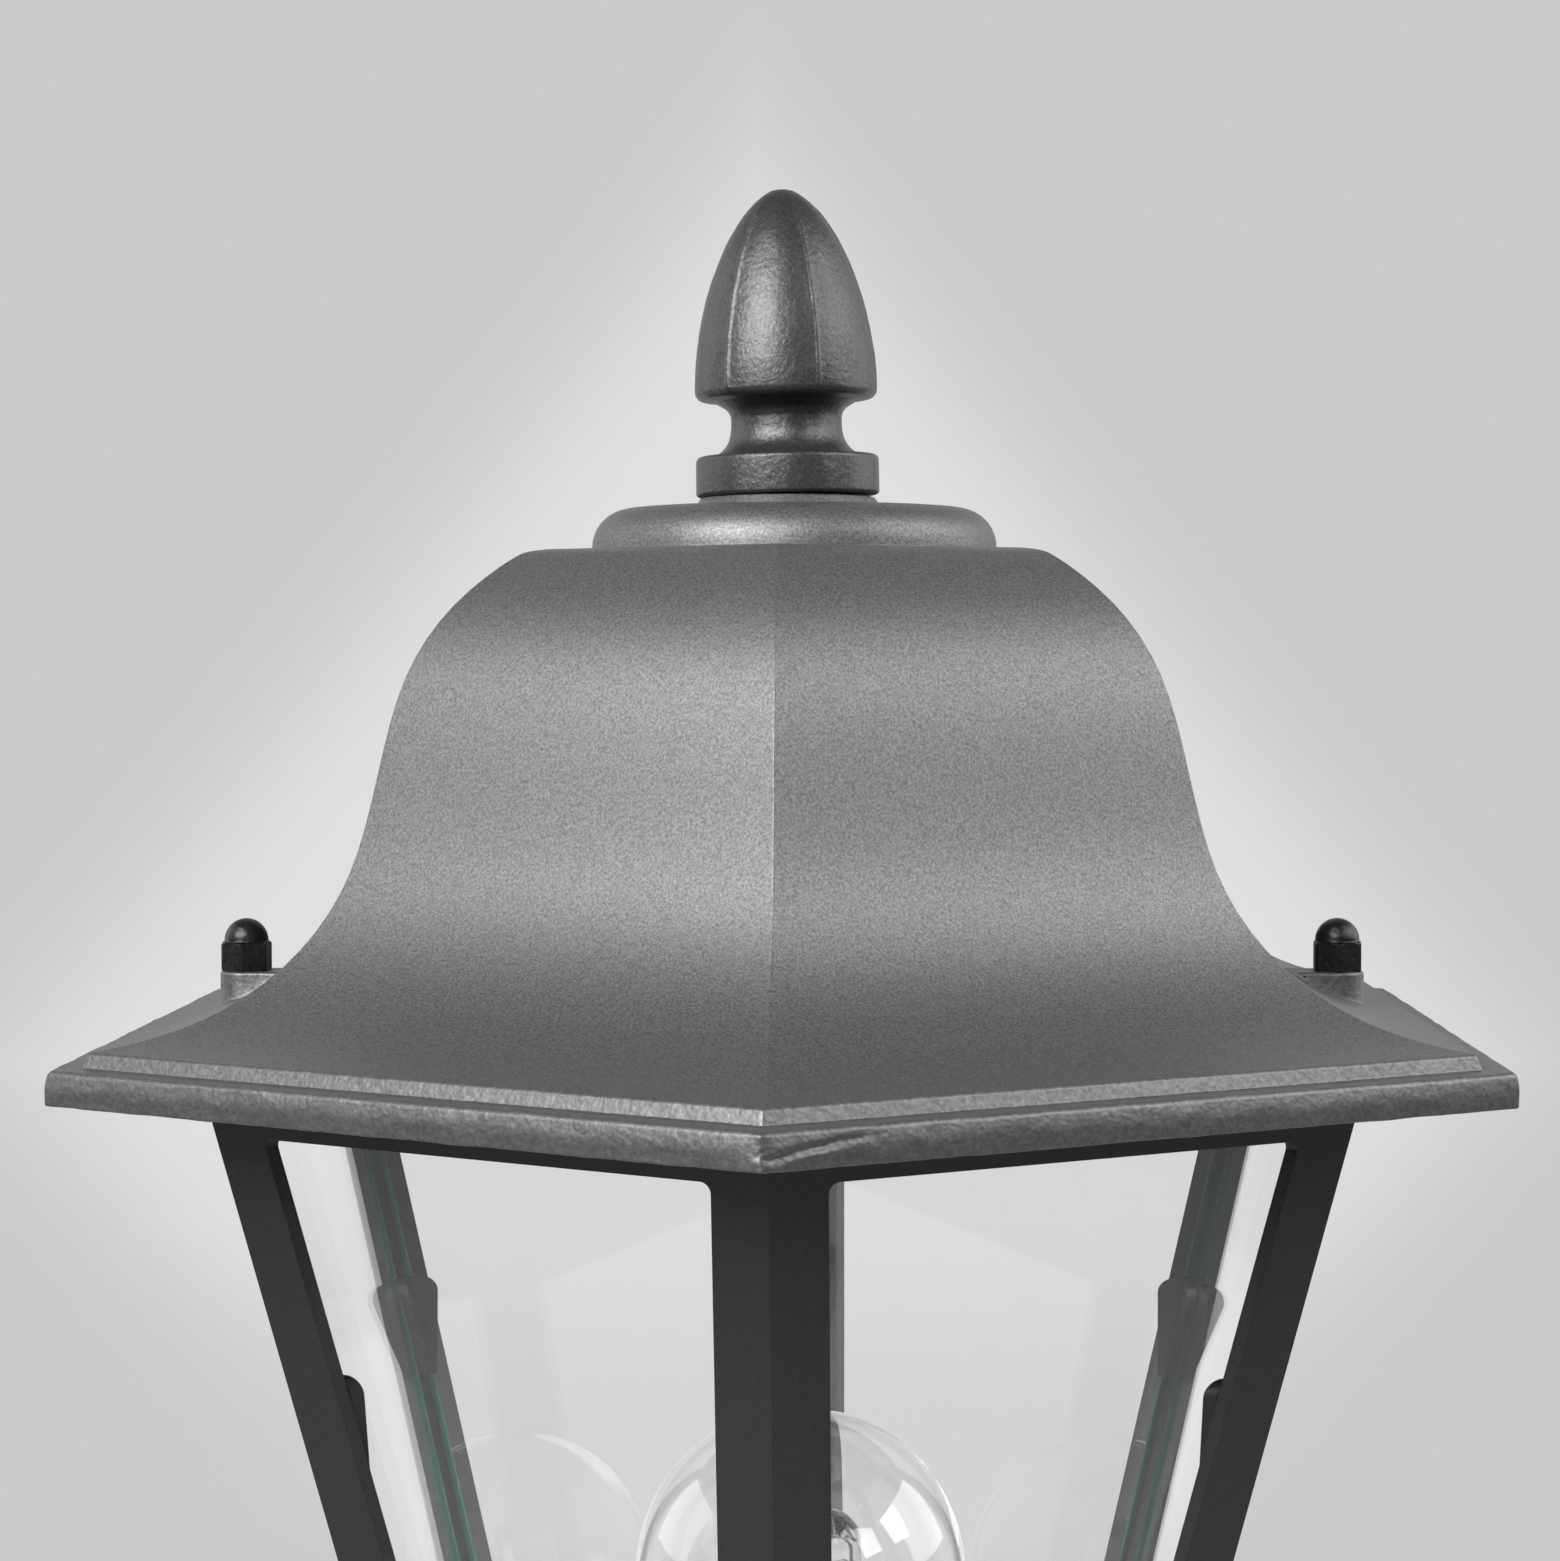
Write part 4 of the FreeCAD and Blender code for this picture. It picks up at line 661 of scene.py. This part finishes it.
def make_finial():
    profile = rounded([
        (0, 0),
        (COLLAR_RADIUS, 0, 0.7),
        (COLLAR_RADIUS, COLLAR_HEIGHT, 0.9),
        (12.9, COLLAR_HEIGHT, 0.9),
        (NECK_RADIUS, 8.9, 5.5),
        (NECK_RADIUS, 14.8, 2.6),
        (12.6, 16.5, 1.2),
        (ACORN_RADIUS, 17.0, 1.5),
        (ACORN_RADIUS, ACORN_LEVEL),
    ], 8)
    for part in range(1, ACORN_RINGS):
        share = 0.985 * math.sin(part / ACORN_RINGS * math.pi / 2)
        profile.append(Vector((ACORN_RADIUS * (1 - share**1.75)**0.58, ACORN_LEVEL + ACORN_RISE * share)))
    profile += [Vector((1.2, FINIAL_HEIGHT - 0.05)), Vector((0, FINIAL_HEIGHT))]

    # The columns lie closer at the seams, and doubles are left out.
    seam_turns = [math.radians(SEAM_TURN + 60 * index) for index in range(6)]
    columns = set()
    for turn in seam_turns:
        columns |= {turn + math.radians(3.0 * part) for part in range(-10, 10)}
        columns |= {turn + math.radians(0.45 * part) for part in range(-7, 8)}
    columns = sorted(angle % math.tau for angle in columns)
    following = columns[1:] + [columns[0] + math.tau]
    columns = [angle for angle, after in zip(columns, following) if after - angle > math.radians(0.1)]

    def cast_skin(radius, level, angle):
        off_seam = min(abs((angle - turn + math.pi) % math.tau - math.pi) for turn in seam_turns) * radius
        fade = held((level - SEAM_FOOT) / 1.2) * held((SEAM_HEAD - level) / 2.5)
        place = Vector((radius * math.cos(angle), radius * math.sin(angle), level))
        lump = 0.10 * noise.noise(place * 0.22) + 0.06 * noise.noise(place * 0.6)
        seam = SEAM_HEIGHT * fade * math.exp(-(off_seam / SEAM_WIDTH)**2)
        return seam + lump * min(radius / 6, 1.0)

    # It leans a little, so that its collar rests on one edge.
    shell = Shell()
    shell.lathe(profile, columns, swell=cast_skin)
    lean = Matrix.Rotation(-FINIAL_LEAN, 3, "Y")
    seat = Vector((0, 0, FINIAL_SEAT + COLLAR_RADIUS * math.sin(FINIAL_LEAN)))
    shell.points = [lean @ point + seat for point in shell.points]
    piece("finial_casting", shell, FINIAL_COAT, ["finial"], 55)


# Cap nuts: a hexagon with a chamfer and a dome

NUT_FLATS = 8.0
NUT_HEXAGON = 5.1
NUT_DOME = 3.85
NUT_HEIGHT = 9.2
NUT_CHAMFER = 0.4
NUT_CHAMFER_SLOPE = 1.5
NUT_FOOT_CHAMFER = 0.25
NUT_FOOT_SLOPE = 1.2
NUT_ROUND = 0.25
NUT_TURN = math.radians(3)
NUT_SIDES = 96


def make_cap_nuts():
    corner = NUT_FLATS / 2 / math.cos(CORNER)
    dome_level = NUT_HEIGHT - NUT_DOME
    columns = even_columns(NUT_SIDES)
    levels = [0.0, 0.12, NUT_FOOT_CHAMFER, 0.5, 1.5, 3.5]
    levels += [NUT_HEXAGON - NUT_CHAMFER + NUT_CHAMFER * part / 8 for part in range(9)]
    shell = Shell()
    for side in (1, -1):
        place = Vector((STUD_OFFSET * side, 0, BOSS_SEAT))
        rings = [shell.ring([place])]
        for level in levels:
            cone = corner - max(level - NUT_HEXAGON + NUT_CHAMFER, 0) * NUT_CHAMFER_SLOPE
            cone -= max(NUT_FOOT_CHAMFER - level, 0) * NUT_FOOT_SLOPE
            points = []
            for angle in columns:
                size = min(hexagon_reach(NUT_FLATS / 2, NUT_ROUND, angle + NUT_TURN), cone)
                points.append(place + Vector((size * math.cos(angle), size * math.sin(angle), level)))
            rings.append(shell.ring(points))
        shell.bands(rings)
        crown = rounded([
            (corner - NUT_CHAMFER * NUT_CHAMFER_SLOPE, NUT_HEXAGON),
            (NUT_DOME, NUT_HEXAGON, 0.3),
            (NUT_DOME, dome_level),
        ], 15)
        crown = crown[1:] + arc((0, dome_level), NUT_DOME, 0, 90, 14)[1:]
        crown[-1] = Vector((0, NUT_HEIGHT))
        tops = shell.lathe(crown, columns, place)
        shell.band(rings[-1], tops[0])
    piece("cap_nut_pair", shell, NUT_BLACK, ["cap_nuts"], 32)


# Lamp bulb: its envelope, screw cap and stem stand on the holder, a little off the lamp's axis

BULB_PLACE = Vector((LAMP_SHIFT, 0, BULB_FOOT))
BULB_RADIUS = 28.8
BULB_NECK = 12.6
BULB_BEND = 30.0
BULB_LENGTH = 104.0
BULB_WALL = 0.6
ENVELOPE_FOOT = 25.5
ENVELOPE_SIDES = 112
CAP_SIDES = 72
STEM_SIDES = 48
THREAD_PITCH = 3.62
THREAD_DEPTH = 0.55
THREAD_FOOT = 6.6
THREAD_HEAD = 23.0
THREAD_FADE = 1.5


def bulb_section(depth):
    """Return the bulb's section from its neck to its top, a depth inside the glass."""
    globe = BULB_RADIUS - depth
    center = BULB_LENGTH - BULB_RADIUS
    across = BULB_NECK + BULB_BEND
    reach = BULB_RADIUS + BULB_BEND
    fall = math.sqrt(reach**2 - across**2)
    turn = math.degrees(math.atan2(fall, across))
    points = [Vector((BULB_NECK - depth, ENVELOPE_FOOT))]
    points += arc((across, center - fall), BULB_BEND + depth, 180, 180 - turn, 14)
    points += arc((0, center), globe, -turn, 90, 48)[1:]
    points[-1] = Vector((0, center + globe))
    return points


def glass_piece(name, shell, node, crease):
    """Make a piece of clear glass that throws no shadow."""
    obj = piece(name, shell, BULB_GLASS, [node], crease)
    obj.visible_shadow = False


def make_envelope():
    outer = bulb_section(0.0)
    inner = bulb_section(BULB_WALL)
    inner.reverse()
    shell = Shell()
    shell.lathe(outer + inner, even_columns(ENVELOPE_SIDES), BULB_PLACE, closed=True)
    glass_piece("bulb_envelope", shell, "bulb_glass", 70)


def make_screw_cap():
    def thread(radius, level, angle):
        fade = held((level - THREAD_FOOT) / THREAD_FADE) * held((THREAD_HEAD - level) / THREAD_FADE)
        wave = math.cos(math.tau * (level / THREAD_PITCH - angle / math.tau))
        return -THREAD_DEPTH * fade * (0.5 - 0.5 * wave)

    outer = [(7.7, 3.3), (8.0, 3.1, 0.2), (13.2, 6.5, 1.2), (13.2, 27.5, 0.2), (12.7, 27.5)]
    inner = [(12.3, 26.0), (12.3, 7.0, 1.0), (7.7, 3.7)]
    profile = split_long(rounded(outer), 0.4) + rounded(inner)
    shell = Shell()
    shell.lathe(profile, even_columns(CAP_SIDES), BULB_PLACE, thread, closed=True)
    piece("bulb_screw_cap", shell, NICKEL, ["bulb_cap"], 60)


def make_stem():
    """A glass stem with a flared foot, pressed flat above."""
    pressed_level = 40
    corners = [(0, 26.0), (11.8, 25.5, 0.4), (11.4, 26.8, 0.8), (5.2, 33.5, 7.0), (4.6, 50.0, 1.6), (0, 51.5)]

    def pressed(radius, level, angle):
        return -0.3 * radius * math.sin(angle)**2 if level > pressed_level else 0.0

    shell = Shell()
    shell.lathe(rounded(corners, 6), even_columns(STEM_SIDES), BULB_PLACE, pressed)
    glass_piece("bulb_stem_glass", shell, "bulb_stem", 60)


# Halogen capsule on two wires, a little to the right of the bulb's axis

CAPSULE_SHIFT = 3.6
CAPSULE_PLACE = Vector((LAMP_SHIFT + CAPSULE_SHIFT, 0, 0))
CAPSULE_SIDES = 48
LEG_OFFSET = 2.5
LEG_FOOT = 179.0
FILAMENT_TURNS = 13
FILAMENT_STEPS = 14 * FILAMENT_TURNS
FILAMENT_RADIUS = 0.9
FILAMENT_FOOT = 187.5
FILAMENT_HEAD = 197.0
FILAMENT_WIRE = 0.22
SUPPORT_FOOT = 177.4
SUPPORT_WIRE = 0.45


def make_capsule():
    outer = rounded([
        (6.3, 184.0),
        (6.5, 185.0, 1.0),
        (6.5, 206.0, 5.4),
        (1.3, 206.0, 0.8),
        (0.9, 206.8, 0.5),
        (0, 206.8),
    ], 7)
    inner = rounded([(0, 204.4), (5.3, 204.4, 4.2), (5.3, 186.0, 2.5), (0, 186.0)], 8)
    columns = even_columns(CAPSULE_SIDES)
    shell = Shell()
    tube = shell.lathe(outer, columns, CAPSULE_PLACE)
    shell.lathe(inner, columns, CAPSULE_PLACE)

    # The pinched end is a rounded rectangle: level, half width and half depth.
    rings = [tube[0]]
    for level, half_x, half_y in ((182.5, 5.8, 3.0), (181.0, 5.2, 1.7), (177.4, 5.0, 1.6), (177.0, 4.6, 1.2)):
        points = []
        for angle in columns:
            x = math.copysign(abs(math.cos(angle))**0.5, math.cos(angle)) * half_x
            y = math.copysign(abs(math.sin(angle))**0.5, math.sin(angle)) * half_y
            points.append(CAPSULE_PLACE + Vector((x, y, level)))
        rings.append(shell.ring(points))
    shell.bands(rings)
    shell.cap(rings[-1])
    glass_piece("halogen_capsule", shell, "bulb_capsule", 60)


def make_filament():
    """A coiled filament on its two legs, and the two wires that carry the capsule."""
    path = [Vector((-LEG_OFFSET, 0, LEG_FOOT)), Vector((-LEG_OFFSET, 0, 186.0)), Vector((-1.4, 0, 187.0))]
    for part in range(FILAMENT_STEPS + 1):
        share = part / FILAMENT_STEPS
        angle = math.pi + math.tau * FILAMENT_TURNS * share
        level = FILAMENT_FOOT + (FILAMENT_HEAD - FILAMENT_FOOT) * share
        path.append(Vector((FILAMENT_RADIUS * math.cos(angle), FILAMENT_RADIUS * math.sin(angle), level)))
    path += [Vector((1.6, 0, 197.8)), Vector((LEG_OFFSET, 0, 196.8)), Vector((LEG_OFFSET, 0, LEG_FOOT))]
    shell = Shell()
    shell.tube([CAPSULE_PLACE + point for point in path], FILAMENT_WIRE, 8)
    piece("filament_coil", shell, TUNGSTEN, ["bulb_filament"], 60)

    shell = Shell()
    for side in (-1, 1):
        foot = CAPSULE_PLACE + Vector((side * LEG_OFFSET, 0, SUPPORT_FOOT))
        bends = [(0, 0), (0, -3), (-1.2 * side, -7), (-1.6 * side, -12)]
        shell.tube([foot + Vector((x, 0, z)) for x, z in bends], SUPPORT_WIRE)
    piece("support_wires", shell, NICKEL, ["bulb_wires"], 60)


# Node trees of the stage

def calc(tree, operation, *sources):
    """Add a sum to a node tree; each source is a number or a node's output."""
    node = tree.nodes.new("ShaderNodeMath")
    node.operation = operation
    for socket, source in zip(node.inputs, sources):
        if isinstance(source, (int, float)):
            socket.default_value = source
        else:
            tree.links.new(source, socket)
    return node.outputs["Value"]


def eased(tree, source, first, last, low, high):
    """Add a soft change from one level to another between two values of the source."""
    node = tree.nodes.new("ShaderNodeMapRange")
    node.interpolation_type = "SMOOTHSTEP"
    for name, value in zip(("From Min", "From Max", "To Min", "To Max"), (first, last, low, high)):
        node.inputs[name].default_value = value
    tree.links.new(source, node.inputs["Value"])
    return node.outputs["Result"]


def mixed(tree, share, first, second, output):
    """Join two shaders by a share and lead them to the tree's output."""
    mix = tree.nodes.new("ShaderNodeMixShader")
    tree.links.new(share, mix.inputs["Fac"])
    tree.links.new(first, mix.inputs[1])
    tree.links.new(second, mix.inputs[2])
    tree.links.new(mix.outputs["Shader"], tree.nodes[output].inputs["Surface"])


# Stage, in metres

FLOOR_RADIUS = 0.9
FLOOR_SIDES = 96
FLOOR_GREY = 0.42
FLOOR_FADE = (0.30, 0.80, 0.0, 1.0)


def make_floor():
    mesh = bpy.data.meshes.new("floor")
    turns = even_columns(FLOOR_SIDES)
    points = [(FLOOR_RADIUS * math.cos(a), FLOOR_RADIUS * math.sin(a), 0) for a in turns]
    mesh.from_pydata(points, [], [tuple(range(FLOOR_SIDES))])
    floor = bpy.data.objects.new("floor", mesh)
    bpy.context.scene.collection.objects.link(floor)

    # The floor fades out before its edge, so that no horizon shows.
    material = bpy.data.materials.new("floor")
    material.use_nodes = True
    tree = material.node_tree
    tree.nodes.remove(tree.nodes["Principled BSDF"])
    place = tree.nodes.new("ShaderNodeTexCoord")
    reach = tree.nodes.new("ShaderNodeVectorMath")
    reach.operation = "LENGTH"
    tree.links.new(place.outputs["Object"], reach.inputs[0])
    fade = eased(tree, reach.outputs["Value"], *FLOOR_FADE)
    matt = tree.nodes.new("ShaderNodeBsdfDiffuse")
    matt.inputs["Color"].default_value = (FLOOR_GREY, FLOOR_GREY, FLOOR_GREY, 1)
    gone = tree.nodes.new("ShaderNodeBsdfTransparent")
    mixed(tree, fade, matt.outputs["BSDF"], gone.outputs["BSDF"], "Material Output")
    mesh.materials.append(material)


# The ground's brightness, and the place, size and brightness of the lighter tent behind the lamp
GROUND = 0.597
TENT_PLACE = (-0.0379, -0.1185)
TENT_SIZE = (0.2206, 0.2681)
TENT_GLOW = 0.126
MATT_FILL = 0.3

# Soft changes in the world: the first and last value of a direction's part, and the levels at them
TENT_EDGE = (0.82, 1.2, TENT_GLOW, 0.0)
TENT_BY_HEIGHT = (-0.235, -0.16, 0.45, 1.15)
TENT_BY_DEPTH = (0.4, 0.8, 0.0, 1.0)
BESIDE_BY_WIDTH = (0.15, 0.2, 0.0, 1.0)
BESIDE_BY_DEPTH = (0.4, 0.6, 0.0, 1.0)
BESIDE_BY_HEIGHT = (-0.112, -0.104, 0.32, 0.17)
FRONT_BY_HEIGHT = (-0.35, 0.1, 0.08, 0.2)
BACK_BY_HEIGHT = (0.35, 0.8, 1.0, 0.3)
ROOM_BY_DEPTH = (-0.3, 0.3, 0.0, 1.0)


def make_world():
    """A pale seamless ground, lighter in a tent shape behind the lamp, and a weaker fill on matt surfaces."""
    world = bpy.data.worlds.new("studio")
    bpy.context.scene.world = world
    world.use_nodes = True
    tree = world.node_tree
    place = tree.nodes.new("ShaderNodeTexCoord")
    axes = tree.nodes.new("ShaderNodeSeparateXYZ")
    tree.links.new(place.outputs["Generated"], axes.inputs[0])
    x, y, z = (axes.outputs[name] for name in "XYZ")
    ray = tree.nodes.new("ShaderNodeLightPath")
    camera_ray = ray.outputs["Is Camera Ray"]
    glossy_ray = ray.outputs["Is Glossy Ray"]
    passed_ray = ray.outputs["Is Transmission Ray"]

    across = calc(tree, "ABSOLUTE", calc(tree, "SUBTRACT", x, TENT_PLACE[0]))
    up = calc(tree, "ABSOLUTE", calc(tree, "SUBTRACT", z, TENT_PLACE[1]))
    across = calc(tree, "DIVIDE", across, TENT_SIZE[0])
    up = calc(tree, "DIVIDE", up, TENT_SIZE[1])
    glow = eased(tree, calc(tree, "ADD", across, up), *TENT_EDGE)
    glow = calc(tree, "MULTIPLY", glow, eased(tree, z, *TENT_BY_HEIGHT))
    glow = calc(tree, "MULTIPLY", glow, eased(tree, y, *TENT_BY_DEPTH))
    level = calc(tree, "ADD", glow, GROUND)

    # The panes show the ground at both sides lighter, most of all low down.
    beside = eased(tree, calc(tree, "ABSOLUTE", x), *BESIDE_BY_WIDTH)
    beside = calc(tree, "MULTIPLY", beside, eased(tree, y, *BESIDE_BY_DEPTH))
    beside = calc(tree, "MULTIPLY", beside, eased(tree, z, *BESIDE_BY_HEIGHT))
    level = calc(tree, "MULTIPLY_ADD", beside, calc(tree, "SUBTRACT", 1.0, camera_ray), level)

    # Reflections find the camera's side of the room dim, and the ceiling a little dimmer than the ground.
    front = eased(tree, z, *FRONT_BY_HEIGHT)
    back = eased(tree, z, *BACK_BY_HEIGHT)
    room = calc(tree, "SUBTRACT", back, front)
    room = calc(tree, "MULTIPLY_ADD", room, eased(tree, y, *ROOM_BY_DEPTH), front)
    mirrored = calc(tree, "MAXIMUM", calc(tree, "SUBTRACT", glossy_ray, passed_ray), 0.0)
    dimmed = calc(tree, "MULTIPLY", calc(tree, "SUBTRACT", 1.0, room), mirrored)
    level = calc(tree, "MULTIPLY", level, calc(tree, "SUBTRACT", 1.0, dimmed))

    shown = tree.nodes["Background"]
    tree.links.new(level, shown.inputs["Color"])
    fill = tree.nodes.new("ShaderNodeBackground")
    fill.inputs["Color"].default_value = (1, 1, 1, 1)
    fill.inputs["Strength"].default_value = MATT_FILL
    seen = calc(tree, "ADD", calc(tree, "ADD", camera_ray, glossy_ray), passed_ray)
    seen = calc(tree, "MINIMUM", seen, 1.0)
    mixed(tree, seen, fill.outputs["Background"], shown.outputs["Background"], "World Output")


# The point that every light faces, and each light's azimuth, elevation, distance, width, height and power.
# Azimuth 0 is the camera's side and grows to the right.
LIGHT_AIM = Vector((0, 0, 0.32))
LIGHTS = {
    "left_softbox": (-33, 31.5, 1.2, 0.95, 0.7, 33.0),
    "right_softbox": (70, 33.5, 1.2, 0.95, 0.75, 11.5),
    "left_side": (-104, 18, 1.1, 0.8, 0.8, 3.0),
    "right_side": (106, 18, 1.1, 0.8, 0.8, 4.5),
    "back_softbox": (180, 50, 1.4, 0.8, 0.8, 0.8),
}


def make_lights():
    for name, (azimuth, elevation, distance, width, height, power) in LIGHTS.items():
        turn = math.radians(azimuth)
        lift = math.radians(elevation)
        away = Vector((math.sin(turn) * math.cos(lift), -math.cos(turn) * math.cos(lift), math.sin(lift)))
        light = bpy.data.lights.new(name, "AREA")
        light.shape = "RECTANGLE"
        light.size = width
        light.size_y = height
        light.energy = power
        obj = bpy.data.objects.new(name, light)
        obj.location = LIGHT_AIM + away * distance
        obj.rotation_euler = (-away).to_track_quat("-Z", "Y").to_euler()
        obj.visible_camera = False
        bpy.context.scene.collection.objects.link(obj)


CAMERA_PLACE = (0.0167, -0.5733, 0.3554)
CAMERA_TURN = 1.820
CAMERA_PITCH = 87.946
CAMERA_ROLL = -0.150
CAMERA_LENS = 75.27
CAMERA_SENSOR = 36.0


def make_camera():
    data = bpy.data.cameras.new("camera")
    data.lens = CAMERA_LENS
    data.sensor_width = CAMERA_SENSOR
    camera = bpy.data.objects.new("camera", data)
    turn = Matrix.Rotation(math.radians(CAMERA_TURN), 4, "Z")
    turn @= Matrix.Rotation(math.radians(CAMERA_PITCH), 4, "X")
    turn @= Matrix.Rotation(math.radians(CAMERA_ROLL), 4, "Z")
    camera.matrix_world = Matrix.Translation(CAMERA_PLACE) @ turn
    bpy.context.scene.collection.objects.link(camera)
    bpy.context.scene.camera = camera


make_roof()
make_finial()
make_cap_nuts()
make_envelope()
make_screw_cap()
make_stem()
make_capsule()
make_filament()
softened("lantern_cage", ["lantern_frame"], FRAME_COAT, FRAME_EDGE)
for number in range(1, 7):
    pane_node = f"glass_pane_{number}"
    pane = softened(f"pane_{number}", [pane_node], PANE_GLASS, PANE_ROUND, edge=PANE_EDGE)
    pane.visible_shadow = False
softened("foot_casting", ["pedestal_foot"], CAST_COAT, CAST_EDGE, 30)
softened("cup_casting", ["pedestal_cup"], CAST_COAT, CAST_EDGE, 30)
softened("holder_porcelain", ["holder_body"], PORCELAIN, CAST_EDGE, 30)

# Small and hidden nodes keep the shape of the solid model and get a finish.
CARRIED = {
    "zinc_steel": (ZINC, ["roof_studs", "finial_stud", "finial_washer", "finial_nut", "holder_screws",
                          "frame_screws", "terminal_bridge", "bridge_screws", "neck_screw"]),
    "brass": (BRASS, ["holder_shell", "holder_contact", "bulb_contact", "earth_screw"]),
    "black_glass": (BLACK_GLASS, ["bulb_insulator"]),
    "black_rubber": (RUBBER, ["pedestal_gasket", "lead_grommet"]),
    "lead_sheath": (LEAD_SHEATH, ["holder_lead"]),
    "terminal_plastic": (TERMINAL, ["terminal_block"]),
}
for slot_name, (finish, names) in CARRIED.items():
    for name in names:
        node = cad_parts[name]
        node.data.materials.clear()
        node.data.materials.append(finish)

make_floor()
make_world()
make_lights()
make_camera()

bpy.context.scene.view_settings.view_transform = "Standard"
bpy.context.view_layer.update()
